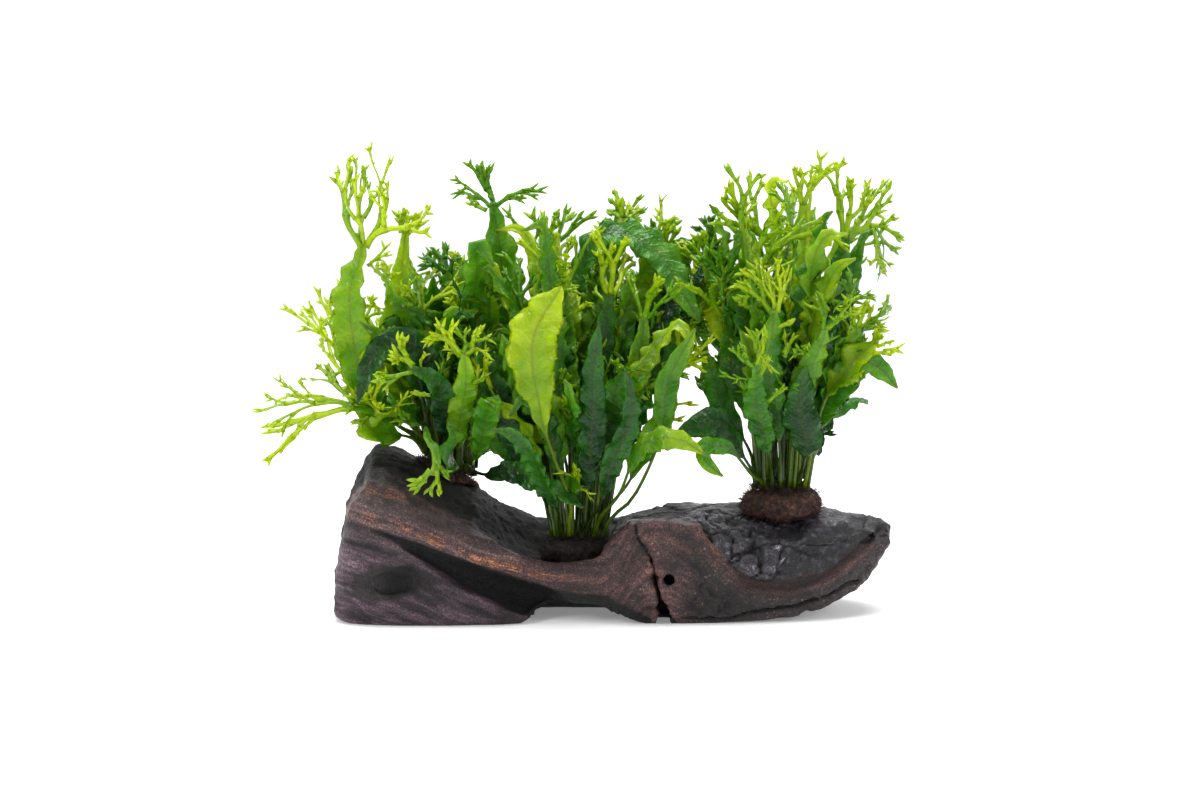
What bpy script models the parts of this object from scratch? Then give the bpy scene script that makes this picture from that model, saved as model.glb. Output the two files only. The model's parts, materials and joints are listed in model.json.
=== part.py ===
"""A crested java fern growing in three clumps on a block of driftwood.

Lengths below are in millimetres: X runs along the wood, Y from its front to its back, Z up.
The objects are made in metres, and the whole stands on Z = 0 with its box centred on the origin.
"""

import math

import bmesh
import bpy
import numpy as np
from mathutils import Matrix, Vector, noise
from mathutils.bvhtree import BVHTree

MM = 0.001
GAP = 0.3  # left between pieces that touch

# ---------------------------------------------------------------- driving sizes
WOOD_LEFT, WOOD_RIGHT = -103.6, 136.4
STATION_STEP = 6.5
LUMP_HEIGHT, LUMP_SIZE, END_FADE = 1.1, 17.0, 14.0

# Each profile runs along the wood: (x, value).
UNDERSIDE = [(-103.6, 3.0), (-101.5, 0.8), (-96, 0), (62, 0), (84, 0.8), (97, 3), (109.5, 6), (115, 9.5),
             (120.6, 12.5), (127, 18.5), (131, 24), (134, 29), (136.4, 32)]
FRONT_ARCH = [(-21, 0), (-16, 5.5), (-8, 8.0), (9, 7.0), (18, 4.2), (25, 0)]  # a hollow under its front only
BACK_RIDGE = [(-103.6, 22), (-102.6, 34), (-100.3, 44.5), (-97.8, 53.5), (-94.9, 61), (-91.5, 66), (-88.7, 70),
              (-83.8, 69.7), (-76.7, 66.7), (-72.6, 64), (-60, 58), (-44.7, 51), (-35.7, 45.5), (-27.6, 41),
              (-19.5, 38.4), (-11.4, 36), (5, 36), (20.8, 38), (31, 40.6), (43.8, 42.3), (69.4, 44.4),
              (107, 42.7), (116.3, 41.2), (129, 40.2), (133, 39.2), (136.4, 37.5)]
FRONT_RIM = [(-103.6, 16), (-100, 38), (-95, 52), (-88, 63.5), (-77, 61), (-70, 52), (-58, 43.5), (-40, 37),
             (-24, 29.5), (-11, 26.8), (5, 27), (12, 29.6), (14.7, 35), (17.2, 40), (20, 42.3), (26, 43.3),
             (38.5, 43.8), (49, 42), (68, 38), (90, 34), (101, 35), (113, 35.5), (125, 38), (136.4, 35)]
FRONT_FACE = [(-103.6, -30), (-98, -37), (-85, -41), (-60, -42), (-35, -40), (-15, -35), (5, -34), (22, -37),
              (45, -37), (70, -35), (95, -31), (115, -24), (128, -15), (136.4, -7)]
BACK_FACE = [(-103.6, 26), (-98, 34), (-80, 39), (-50, 38), (-15, 34), (20, 33), (60, 34), (90, 31), (112, 24),
             (128, 14), (136.4, 6)]
TROUGH_DIP = [(-44, 0), (-28, 3.0), (-12, 5.0), (6, 5.0), (13, 3.0), (20, 0)]
WALL_FOOT = [(-46, 0.0), (-30, 0.34), (-12, 0.52), (8, 0.52), (16, 0.3), (24, 0.0)]

GROOVE_LINE = [(-80, 39.2), (-66.4, 31.8), (-53.7, 24.8), (-41, 18.5), (-28.3, 13.4), (-15, 9.2), (-3, 6.0)]
GROOVE_HEIGHTS = [0.8, 2.6, 4.2, 5.4, 6.2, 5.8, 3.6]
GROOVE_DEPTH = 13.0
FISSURE = [(30.1, 29.8), (31.9, 29.3), (35.1, 18.8), (40.1, -2), (34.2, -2), (32.7, 12.8)]
FISSURE_DEPTH = 15.0
WORM_HOLE, WORM_HOLE_RADIUS, WORM_HOLE_DEPTH = (38.7, 19.6), 2.0, 9.0
KNOT_PIT, KNOT_PIT_SIZE = (-78.0, 18.6), (9.0, 6.5, 4.0)

# name: centre of the plug, its half sizes, and the slope that it lies on in degrees
PLUGS = {
    "left": ((-60, 17, 52.5), (17, 12, 7), 24),
    "middle": ((0, -8, 26.5), (16, 12, 5), 0),
    "right": ((88, 0, 45.5), (17.5, 14, 6), 0),
}
PLUG_SIDES = 14
PLUG_RINGS = [(0.62, -1.0), (1.0, -0.55), (1.03, 0.35), (0.88, 0.9), (0.6, 1.0)]

RHIZOME_RADIUS, RHIZOME_HALF_LENGTH = 2.2, 13.0
SLOT_PITCH, ROW_PITCH = 3.7, 4.0

STEM_WIDTH, STEM_THICKNESS, BLADE_THICKNESS = 1.7, 1.3, 0.7
SWINGS = [0, 3, -3, 6, -6, 9, -9, 12, -12, 16, -16, 20, -20]

# Fronds: (clump, row, slot) says where on the rhizome it grows, row -1 in front of it and +1 behind.
# Then the points that it rises through, the width of its blade, the way its face is turned in degrees
# (0 looks to the front, 90 to the right), the share of its length that is bare stalk, and the spread
# of its crest, which runs from the last point but one to the last. No spread means no crest.
FRONDS = [
    # left clump
    ("left", 0, -3, [(-79, 8, 80), (-92, -2, 98), (-97, -7, 118), (-97, -8, 139), (-90, -6, 160), (-86, -4, 198)],
     17, 0, 0.12, 46),
    ("left", 1, -2, [(-75, 14, 81), (-83, 14, 112), (-80, 13, 137), (-73, 12, 164), (-70, 12, 178)], 11, 10, 0.2, 12),
    ("left", 1, -3, [(-81, 22, 78), (-92, 19, 90), (-98, 14, 102), (-117, 8, 134)], 8, -10, 0.3, 24),
    ("left", -1, -3, [(-76, 0, 79), (-87, -10, 88), (-97, -16, 93), (-135, -20, 109)], 7, 0, 0.3, 34),
    ("left", -1, -1, [(-60, -4, 88), (-66, -14, 109), (-76, -22, 118), (-88, -26, 110), (-95, -28, 95)],
     12, 0, 0.25, 0),
    ("left", -1, 0, [(-55, -8, 78), (-59, -24, 99), (-71, -36, 110), (-88, -40, 114)], 11, 0, 0.25, 10),
    ("left", -1, -2, [(-66, -4, 76), (-64, -24, 83), (-61, -40, 77), (-60, -49, 67), (-62, -51, 54)], 4, 0, 0.5, 9),
    ("left", -1, 3, [(-38, -8, 60), (-24, -18, 63), (-10, -26, 58), (2, -32, 49)], 11, 0, 0.25, 0),
    ("left", 0, 3, [(-42, 2, 69), (-34, 0, 81), (-25, -2, 87), (-13, -4, 86)], 10, 0, 0.25, 0),
    ("left", 1, 0, [(-61, 24, 85), (-64, 31, 115), (-60, 36, 140), (-57, 39, 158)], 12, 170, 0.2, 18),
    ("left", 1, 2, [(-47, 27, 79), (-44, 38, 104), (-36, 46, 120), (-25, 52, 134)], 12, 150, 0.2, 16),
    ("left", 0, 0, [(-60, 6, 87), (-64, 2, 113), (-66, 0, 133), (-65, -2, 154)], 12, -10, 0.2, 18),
    ("left", 0, 1, [(-52, 6, 82), (-48, 3, 108), (-44, 0, 125), (-40, -2, 144)], 11, 15, 0.2, 18),
    ("left", -1, 1, [(-51, -8, 76), (-48, -24, 101), (-47, -36, 118), (-43, -44, 132)], 11, 0, 0.2, 16),
    ("left", -1, 2, [(-44, -8, 68), (-38, -24, 85), (-35, -38, 96), (-34, -50, 98)], 11, 10, 0.25, 0),
    ("left", 1, -1, [(-68, 33, 80), (-79, 45, 97), (-89, 51, 112), (-99, 54, 122)], 12, -150, 0.2, 18),
    ("left", 1, 3, [(-49, 27, 63), (-50, 42, 73), (-55, 54, 75), (-59, 62, 68)], 11, 180, 0.25, 0),
    # middle clump
    ("middle", -1, -1, [(-3, -19, 50), (-11, -30, 74), (-16, -37, 94), (-17, -41, 122), (-7, -43, 145)],
     21, 0, 0.42, 0),
    ("middle", 1, -2, [(-8, 6, 54), (-22, 11, 92), (-30, 13, 127), (-34, 13, 152), (-38, 13, 176), (-38, 13, 195)],
     19, 5, 0.3, 24),
    ("middle", 1, 0, [(4, 6, 64), (2, 12, 102), (0, 14, 138), (7, 12, 159), (22, 8, 162), (36, 2, 153),
                      (43, -4, 140), (52, -8, 126)], 15, 0, 0.3, 0),
    ("middle", -1, -3, [(-15, -16, 51), (-29, -24, 79), (-39, -28, 102), (-43, -30, 124)], 12, 15, 0.25, 0),
    ("middle", 0, -3, [(-15, -6, 54), (-34, -3, 79), (-46, -1, 101), (-52, 0, 123)], 12, -15, 0.2, 14),
    ("middle", 0, -2, [(-7, -8, 66), (-16, -10, 103), (-21, -12, 130), (-19, -14, 158)], 12, 0, 0.22, 18),
    ("middle", 0, -1, [(0, -7, 68), (-4, -6, 106), (-7, -4, 140), (-13, -2, 173)], 12, 0, 0.22, 20),
    ("middle", 0, 1, [(8, -7, 70), (12, -7, 109), (13, -6, 140), (15, -4, 176)], 12, 10, 0.22, 20),
    ("middle", 0, 2, [(14, -7, 66), (23, -9, 101), (29, -10, 130), (36, -10, 162)], 12, 0, 0.22, 22),
    ("middle", -1, 3, [(24, -18, 52), (34, -25, 75), (38, -29, 96), (43, -31, 112), (48, -33, 127)], 10, 0, 0.5, 0),
    ("middle", -1, 2, [(18, -22, 54), (25, -32, 73), (35, -38, 82), (45, -40, 81), (53, -41, 74)], 11, 0, 0.45, 0),
    ("middle", 0, 3, [(23, -7, 58), (35, -6, 84), (45, -5, 106), (52, -4, 126)], 11, -20, 0.25, 12),
    ("middle", 1, 1, [(8, 7, 70), (14, 22, 100), (18, 33, 128), (22, 41, 150)], 12, 180, 0.2, 18),
    ("middle", 1, 2, [(18, 7, 66), (30, 20, 92), (42, 31, 112), (53, 38, 132)], 12, 140, 0.2, 18),
    ("middle", 1, -3, [(-12, 9, 57), (-25, 27, 87), (-31, 40, 109), (-40, 50, 128)], 12, -160, 0.2, 18),
    ("middle", -1, 0, [(4, -24, 59), (6, -38, 89), (8, -47, 111), (10, -54, 130)], 12, -10, 0.22, 0),
    ("middle", -1, 1, [(10, -22, 50), (16, -38, 73), (20, -48, 94), (21, -54, 112)], 10, 20, 0.25, 0),
    ("middle", -1, -2, [(-9, -24, 49), (-18, -40, 69), (-26, -52, 83), (-34, -60, 89)], 10, -20, 0.25, 0),
    ("middle", 1, -1, [(-2, 5, 74), (-6, 17, 116), (-14, 24, 151), (-20, 27, 177)], 12, 0, 0.2, 22),
    # right clump
    ("right", 0, 1, [(94, 1, 91), (97, 0, 128), (96, 0, 163), (95, 0, 200)], 11, 0, 0.2, 7),
    ("right", 0, -1, [(85, 0, 85), (80, -3, 120), (78, -5, 149), (78, -5, 193)], 12, 10, 0.2, 24),
    ("right", 1, 0, [(89, 10, 84), (91, 18, 121), (89, 21, 152), (88, 21, 191)], 12, 0, 0.2, 24),
    ("right", 0, 2, [(101, 2, 85), (108, 1, 118), (112, 0, 145), (116, -1, 163), (127, 0, 189)], 17, 15, 0.22, 26),
    ("right", 1, 3, [(108, 12, 83), (115, 17, 121), (119, 18, 152), (129, 16, 163), (137, 13, 140)], 9, 0, 0.3, 9),
    ("right", 0, 3, [(103, -1, 69), (107, -4, 90), (115, -8, 103), (125, -9, 108), (137, -8, 97)], 14, -10, 0.3, 0),
    ("right", -1, 2, [(97, -12, 65), (98, -20, 78), (96, -24, 93), (94, -25, 109)], 16, 0, 0.3, 0),
    ("right", -1, -3, [(74, -9, 64), (65, -15, 77), (55, -19, 84), (42, -21, 83)], 14, 0, 0.3, 0),
    ("right", -1, -2, [(75, -16, 61), (65, -26, 74), (56, -32, 78), (54, -36, 73), (62, -38, 65)], 8, 0, 0.45, 0),
    ("right", 0, -2, [(79, 1, 79), (69, 0, 105), (61, -2, 130), (56, -3, 154)], 12, 0, 0.22, 18),
    ("right", 0, -3, [(74, 4, 70), (62, 6, 92), (53, 7, 113), (46, 8, 135)], 11, -20, 0.22, 12),
    ("right", 1, -2, [(81, 16, 77), (73, 30, 105), (68, 41, 127), (64, 48, 149)], 12, -160, 0.2, 18),
    ("right", 1, 1, [(95, 18, 76), (100, 34, 101), (105, 47, 122), (110, 56, 140)], 12, 170, 0.2, 16),
    ("right", 1, 2, [(101, 16, 66), (113, 32, 81), (122, 46, 86), (129, 56, 81)], 12, 140, 0.25, 0),
    ("right", -1, 0, [(86, -14, 81), (83, -27, 112), (80, -36, 135), (77, -41, 155)], 12, 0, 0.2, 22),
    ("right", -1, -1, [(81, -16, 72), (76, -32, 96), (73, -44, 114), (71, -53, 129)], 11, -10, 0.22, 16),
    ("right", -1, 1, [(93, -15, 77), (99, -29, 105), (103, -40, 128), (108, -47, 144)], 12, 20, 0.22, 16),
]

# name: base colour, roughness
FINISHES = {
    "driftwood": ((0.09, 0.05, 0.045), 0.75),
    "coir": ((0.13, 0.06, 0.035), 0.95),
    "rhizome": ((0.10, 0.09, 0.03), 0.7),
    "frond": ((0.10, 0.32, 0.03), 0.35),
    "young frond": ((0.33, 0.58, 0.03), 0.4),
}


# ---------------------------------------------------------------- shared helpers
def clear_scene():
    for obj in list(bpy.data.objects):
        bpy.data.objects.remove(obj, do_unlink=True)


def finish(name):
    material = bpy.data.materials.get(name)
    if material:
        return material
    colour, roughness = FINISHES[name]
    material = bpy.data.materials.new(name)
    material.use_nodes = True
    shader = material.node_tree.nodes["Principled BSDF"]
    shader.inputs["Base Color"].default_value = (*colour, 1)
    shader.inputs["Roughness"].default_value = roughness
    shader.inputs["Metallic"].default_value = 0
    return material


def add_object(name, points, faces, finish_name):
    """A smooth-shaded object from points in millimetres, with its normals outwards."""
    mesh = bpy.data.meshes.new(name)
    mesh.from_pydata([Vector(p) * MM for p in points], [], faces)
    shaper = bmesh.new()
    shaper.from_mesh(mesh)
    bmesh.ops.recalc_face_normals(shaper, faces=shaper.faces)
    shaper.to_mesh(mesh)
    shaper.free()
    mesh.shade_smooth()
    mesh.set_sharp_from_angle(angle=math.radians(40))
    mesh.materials.append(finish(finish_name))
    obj = bpy.data.objects.new(name, mesh)
    bpy.context.scene.collection.objects.link(obj)
    return obj


def skin(rings):
    """Points and faces of a closed skin over rings that all have the same number of points."""
    count = len(rings[0])
    points = [p for ring in rings for p in ring]
    faces = []
    for ring in range(len(rings) - 1):
        for side in range(count):
            low, high = ring * count, (ring + 1) * count
            after = (side + 1) % count
            faces.append((low + side, low + after, high + after, high + side))
    faces.append(tuple(reversed(range(count))))
    faces.append(tuple(range(len(points) - count, len(points))))
    return points, faces


def profile(pairs, x):
    return float(np.interp(x, [p[0] for p in pairs], [p[1] for p in pairs]))


def ease(share):
    share = min(max(share, 0.0), 1.0)
    return share * share * (3 - 2 * share)


def smooth_line(points, per_span=10):
    """Points along a Catmull-Rom curve through the given ones, with the length run at each."""
    knots = [np.array(p, float) for p in points]
    knots = [2 * knots[0] - knots[1], *knots, 2 * knots[-1] - knots[-2]]
    line = []
    for i in range(1, len(knots) - 2):
        a, b, c, d = knots[i - 1:i + 3]
        for step in range(per_span):
            t = step / per_span
            line.append(0.5 * (2 * b + (c - a) * t + (2 * a - 5 * b + 4 * c - d) * t**2
                               + (3 * b - a - 3 * c + d) * t**3))
    line.append(knots[-2])
    line = np.array(line)
    run = np.concatenate([[0], np.cumsum(np.linalg.norm(np.diff(line, axis=0), axis=1))])
    return line, run


def along(line, run, length):
    return np.array([np.interp(length, run, line[:, axis]) for axis in range(3)])


# ---------------------------------------------------------------- driftwood
def wood_section(x):
    """The closed outline of the wood at one place along it, from its front foot up, over and down the back."""
    under, rim, ridge = profile(UNDERSIDE, x), profile(FRONT_RIM, x), profile(BACK_RIDGE, x)
    front, back = profile(FRONT_FACE, x), profile(BACK_FACE, x)
    dip, wall_foot = profile(TROUGH_DIP, x), profile(WALL_FOOT, x)
    arch = under + profile(FRONT_ARCH, x)
    outline = []
    for up, out in ((0, 0.9), (0.1, 0.97), (0.3, 1.0), (0.55, 0.99), (0.8, 0.94), (1, 0.86)):
        outline.append((front * out, arch + up * (rim - arch)))
    for share in (0.1, 0.24, 0.38, 0.52, 0.66, 0.8, 0.92):
        rise = ease((share - wall_foot) / (0.72 - 0.55 * wall_foot))
        z = rim + rise * (ridge - rim) - dip * ease(share / 0.1) * (1 - rise)
        z -= 3.0 * ease((share - 0.66) / 0.34)
        outline.append((front * 0.86 + share * (back - front) * 0.9, z))
    shoulder = ridge - 6.0 - 0.1 * (ridge - under)
    for down, out in ((1.0, 0.97), (0.7, 1.0), (0.4, 0.98), (0.15, 0.95), (0, 0.88)):
        outline.append((back * out, under + down * (shoulder - under)))
    for share, foot in ((0.75, under), (0.5, under), (0.25, arch)):
        outline.append((front * 0.9 + share * (back * 0.88 - front * 0.9), foot))
    return outline


def wood_block():
    """The block before its grooves, in triangles, so that a swollen copy of it has the same facets."""
    ends = [0, 1.0, 2.6, 4.6, 7.5, 11.0, 15.0]
    stations = [WOOD_LEFT + end for end in ends]
    while stations[-1] + STATION_STEP < WOOD_RIGHT - 7:
        stations.append(stations[-1] + STATION_STEP)
    stations += [WOOD_RIGHT - 4.5, WOOD_RIGHT - 1.5, WOOD_RIGHT]
    rings = []
    for x in stations:
        ring = []
        for y, z in wood_section(x):
            fade = min(1.0, (x - WOOD_LEFT) / END_FADE, (WOOD_RIGHT - x) / END_FADE)
            lump = fade * LUMP_HEIGHT * noise.noise(Vector((x, y, z)) / LUMP_SIZE)
            lift = lump if z > profile(UNDERSIDE, x) + profile(FRONT_ARCH, x) + 3 else 0
            ring.append((x, y + lump * 1.5 * math.tanh(y / 4), z + lift))
        rings.append(ring)
    wood = add_object("driftwood", *skin(rings), "driftwood")
    shaper = bmesh.new()
    shaper.from_mesh(wood.data)
    bmesh.ops.triangulate(shaper, faces=shaper.faces)
    shaper.to_mesh(wood.data)
    shaper.free()
    return wood


def cutter(name, points, faces):
    obj = add_object(name, points, faces, "driftwood")
    obj.hide_render = True
    obj.display_type = "WIRE"
    return obj


def groove_cutter():
    """A long lens that follows the grain across the left lobe's face."""
    rings = []
    for (x, z), height in zip(GROOVE_LINE, GROOVE_HEIGHTS):
        depth = GROOVE_DEPTH * height / max(GROOVE_HEIGHTS)
        ring = []
        for corner in range(8):
            angle = math.tau * corner / 8
            ring.append((x + 0.4 * height * math.sin(angle), profile(FRONT_FACE, x) - 1 + depth * math.cos(angle),
                         z + height * math.sin(angle)))
        rings.append(ring)
    return cutter("groove_cutter", *skin(rings))


def fissure_cutter():
    front = min(value for _, value in FRONT_FACE) - 8
    rings = [[(x, y, z) for x, z in FISSURE] for y in (front, profile(FRONT_FACE, 35) + FISSURE_DEPTH)]
    return cutter("fissure_cutter", *skin(rings))


def worm_hole_cutter():
    x, z = WORM_HOLE
    face = profile(FRONT_FACE, x)
    rings = []
    for y in (face - 8, face + WORM_HOLE_DEPTH):
        rings.append([(x + WORM_HOLE_RADIUS * math.cos(math.tau * side / 10), y,
                       z + WORM_HOLE_RADIUS * math.sin(math.tau * side / 10)) for side in range(10)])
    return cutter("worm_hole_cutter", *skin(rings))


def knot_pit_cutter():
    x, z = KNOT_PIT
    shaper = bmesh.new()
    bmesh.ops.create_icosphere(shaper, subdivisions=2, radius=1)
    place = Vector((x, profile(FRONT_FACE, x) - 2.5, z))
    points = [place + Vector([c * size for c, size in zip(v.co, KNOT_PIT_SIZE)]) for v in shaper.verts]
    faces = [tuple(v.index for v in face.verts) for face in shaper.faces]
    shaper.free()
    return cutter("knot_pit_cutter", points, faces)


def driftwood():
    wood = wood_block()
    for tool in (groove_cutter(), fissure_cutter(), worm_hole_cutter(), knot_pit_cutter()):
        cut = wood.modifiers.new(tool.name, "BOOLEAN")
        cut.operation = "DIFFERENCE"
        cut.solver = "EXACT"
        cut.object = tool
    return wood


# ---------------------------------------------------------------- plugs and rhizomes
def swollen_wood(wood):
    """A copy of the wood that stands proud of it all round, to cut seats with a gap."""
    mesh = bpy.data.meshes.new("seat_cutter")
    shaper = bmesh.new()
    shaper.from_mesh(wood.data)
    shaper.normal_update()
    for vertex in shaper.verts:
        vertex.co += vertex.normal * GAP * 1.3 * MM
    shaper.to_mesh(mesh)
    shaper.free()
    seat = bpy.data.objects.new("seat_cutter", mesh)
    bpy.context.scene.collection.objects.link(seat)
    seat.hide_render = True
    seat.display_type = "WIRE"
    return seat


def slope_of(clump):
    """Turns about Y by the slope that the clump lies on, falling to the right."""
    return Matrix.Rotation(math.radians(PLUGS[clump][2]), 3, "Y")


def plug(clump, seat):
    centre, half, _ = PLUGS[clump]
    turn = slope_of(clump)
    rings = []
    for share, height in PLUG_RINGS:
        ring = []
        for side in range(PLUG_SIDES):
            angle = math.tau * side / PLUG_SIDES
            wobble = 1 + 0.05 * math.sin(3 * angle + height) + 0.04 * math.sin(5 * angle + 2)
            local = Vector((half[0] * share * wobble * math.cos(angle), half[1] * share * wobble * math.sin(angle),
                            half[2] * height))
            ring.append(Vector(centre) + turn @ local)
        rings.append(ring)
    lump = add_object("plug_" + clump, *skin(rings), "coir")
    cut = lump.modifiers.new("seat", "BOOLEAN")
    cut.operation = "DIFFERENCE"
    cut.solver = "EXACT"
    cut.object = seat
    return lump


def rhizome_centre(clump):
    centre, half, _ = PLUGS[clump]
    return Vector(centre) + slope_of(clump) @ Vector((0, 0, half[2] + RHIZOME_RADIUS + GAP))


def rhizome(clump):
    centre, turn = rhizome_centre(clump), slope_of(clump)
    rings = []
    for share, size in ((-1, 0.45), (-0.9, 0.9), (-0.3, 1.0), (0.3, 0.94), (0.9, 0.85), (1, 0.4)):
        ring = []
        for side in range(8):
            angle = math.tau * side / 8
            radius = RHIZOME_RADIUS * size
            local = Vector((share * RHIZOME_HALF_LENGTH, radius * math.cos(angle), radius * math.sin(angle)))
            ring.append(centre + turn @ local)
        rings.append(ring)
    return add_object("rhizome_" + clump, *skin(rings), "rhizome")


# ---------------------------------------------------------------- fronds
def frond_base(clump, row, slot):
    lift = 0 if row else RHIZOME_RADIUS + 2 * GAP
    local = Vector((slot * SLOT_PITCH, row * ROW_PITCH, lift))
    return rhizome_centre(clump) + slope_of(clump) @ local


def frond_line(clump, row, slot, points, swing):
    """The frond's centre line. The swing moves its upper points back, or forwards where it is negative."""
    base = frond_base(clump, row, slot)
    first = Vector(points[0])
    knee = base + Vector((0.25 * (first.x - base.x), 0.25 * (first.y - base.y), 0.45 * (first.z - base.z)))
    moved = [(x, y + swing * min(1.0, (i + 1) / 2), z) for i, (x, y, z) in enumerate(points)]
    return smooth_line([base, knee, *moved])


def lance(share):
    """Half a lance-shaped blade: 0 at the stalk, 1 at its widest and narrow at its tip."""
    return math.sin(math.pi * share**0.8) ** 0.8 if 0 < share < 1 else 0.0


def frond_skin(frond, swing, grow=0.0):
    clump, row, slot, points, width, turned, stalk, spread = frond
    line, run = frond_line(clump, row, slot, points, swing)
    whole = run[-1]
    crest_from = run[-11] / whole if spread else 1.0
    places = [(share * stalk, STEM_WIDTH / 2, STEM_THICKNESS / 2) for share in (0, 0.3, 0.65, 1)]
    for share in (0.16, 0.34, 0.52, 0.7, 0.86):
        half = max(width / 2 * lance(share), STEM_WIDTH / 2)
        places.append((stalk + share * (crest_from - stalk), half, BLADE_THICKNESS / 2))
    neck = 1.6 if spread else 0.7
    places.append((crest_from, neck, BLADE_THICKNESS / 2))
    if spread:
        for share, part in ((0.3, 0.3), (0.65, 0.5), (1.0, 0.34)):
            places.append((crest_from + share * (1 - crest_from), spread * part, BLADE_THICKNESS / 2))
    face = Vector((math.sin(math.radians(turned)), -math.cos(math.radians(turned)), 0))
    rings = []
    for share, half_width, half_thickness in places:
        here = Vector(along(line, run, share * whole))
        ahead = Vector(along(line, run, min(share + 0.02, 1) * whole))
        behind = Vector(along(line, run, max(share - 0.02, 0) * whole))
        heading = (ahead - behind).normalized()
        side = heading.cross(face).normalized() * (half_width + grow)
        up = side.cross(heading).normalized() * (half_thickness + grow)
        rings.append([here - side - up, here + side - up, here + side + up, here - side + up])
    return skin(rings)


def tree_of(points, faces):
    return BVHTree.FromPolygons([Vector(p) for p in points], faces, epsilon=0)


def shown_tree(obj):
    """The overlap tree of an object as its modifiers leave it, in millimetres."""
    graph = bpy.context.evaluated_depsgraph_get()
    mesh = obj.evaluated_get(graph).data
    points = [vertex.co / MM for vertex in mesh.vertices]
    return BVHTree.FromPolygons(points, [tuple(face.vertices) for face in mesh.polygons], epsilon=0)


def fronds(ground):
    """Every frond, each swung to the first place where it clears the ground and the ones before it."""
    solid = [shown_tree(obj) for obj in ground]
    placed = []
    numbers = {clump: 0 for clump in PLUGS}
    for frond in FRONDS:
        clump = frond[0]
        numbers[clump] += 1
        name = f"frond_{clump}_{numbers[clump]:02d}"
        for swing in SWINGS:
            points, faces = frond_skin(frond, swing)
            own = tree_of(points, faces)
            roomy = tree_of(*frond_skin(frond, swing, grow=GAP))
            if not any(own.overlap(other) for other in solid) and not any(roomy.overlap(other) for other in placed):
                break
        else:
            raise ValueError(name + " finds no clear place")
        placed.append(own)
        add_object(name, points, faces, "young frond" if frond[7] > 20 else "frond")


# ---------------------------------------------------------------- the whole
def stand_on_origin():
    """Moves every mesh so that the box of the whole is centred on the origin and stands on Z = 0."""
    bpy.context.view_layer.update()
    graph = bpy.context.evaluated_depsgraph_get()
    corners = []
    for obj in bpy.data.objects:
        if not obj.hide_render:
            shown = obj.evaluated_get(graph)
            corners += [vertex.co.copy() for vertex in shown.data.vertices]
    low = Vector([min(c[axis] for c in corners) for axis in range(3)])
    high = Vector([max(c[axis] for c in corners) for axis in range(3)])
    move = Vector((-(low.x + high.x) / 2, -(low.y + high.y) / 2, -low.z))
    for obj in bpy.data.objects:
        obj.data.transform(Matrix.Translation(move))


clear_scene()
wood = driftwood()
seat = swollen_wood(wood)
ground = [wood]
for clump in PLUGS:
    ground += [plug(clump, seat), rhizome(clump)]
bpy.context.view_layer.update()
fronds(ground)
stand_on_origin()
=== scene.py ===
"""Looks of a crested java fern growing in three clumps on a block of driftwood.

Design lengths are in millimetres, in the wood's own frame: X runs along the wood, Y from its front to
its back, Z up. Meshes are made in the frame's metres, shifted to where the frame holds the wood.
"""

import json
import math
from collections import namedtuple
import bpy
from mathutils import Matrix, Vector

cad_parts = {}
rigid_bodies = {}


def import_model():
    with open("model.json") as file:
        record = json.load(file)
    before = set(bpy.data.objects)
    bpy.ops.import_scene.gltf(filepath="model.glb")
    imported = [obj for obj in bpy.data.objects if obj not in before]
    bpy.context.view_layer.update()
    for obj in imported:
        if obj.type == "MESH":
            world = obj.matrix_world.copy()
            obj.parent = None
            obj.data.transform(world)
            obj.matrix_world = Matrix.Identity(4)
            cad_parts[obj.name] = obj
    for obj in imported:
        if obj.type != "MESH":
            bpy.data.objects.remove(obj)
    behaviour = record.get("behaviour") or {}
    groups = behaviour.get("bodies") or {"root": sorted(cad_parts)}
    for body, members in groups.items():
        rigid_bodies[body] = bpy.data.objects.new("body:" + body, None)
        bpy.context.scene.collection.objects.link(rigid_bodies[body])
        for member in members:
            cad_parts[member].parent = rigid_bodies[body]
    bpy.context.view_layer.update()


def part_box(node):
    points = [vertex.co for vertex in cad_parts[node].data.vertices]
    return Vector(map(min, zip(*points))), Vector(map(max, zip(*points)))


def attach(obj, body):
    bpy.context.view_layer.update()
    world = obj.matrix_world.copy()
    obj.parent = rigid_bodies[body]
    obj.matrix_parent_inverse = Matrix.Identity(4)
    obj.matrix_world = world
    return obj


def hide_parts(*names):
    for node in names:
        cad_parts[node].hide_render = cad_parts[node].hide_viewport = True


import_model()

from types import SimpleNamespace

import bmesh
import bpy
import numpy as np
from mathutils import Vector

MM = 0.001
SEED = 41
WOOD_LEFT, WOOD_RIGHT = -103.6, 136.4

# name: centre of the plug, its half sizes, and the slope that it lies on in degrees
PLUGS = {
    "left": ((-60, 17, 52.5), (17, 12, 7), 24),
    "middle": ((0, -8, 26.5), (16, 12, 5), 0),
    "right": ((88, 0, 45.5), (17.5, 14, 6), 0),
}

RHIZOME_RADIUS = 2.2
GAP = 0.3  # left between pieces that touch
SLOT_PITCH, ROW_PITCH = 3.7, 4.0  # from frond to frond along a rhizome, and from row to row across it
STEM_WIDTH, STEM_THICKNESS = 1.7, 1.3
SWINGS = [0, 3, -3, 6, -6, 9, -9, 12, -12, 16, -16, 20, -20]  # how far along Y a frond may be swung clear

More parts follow.
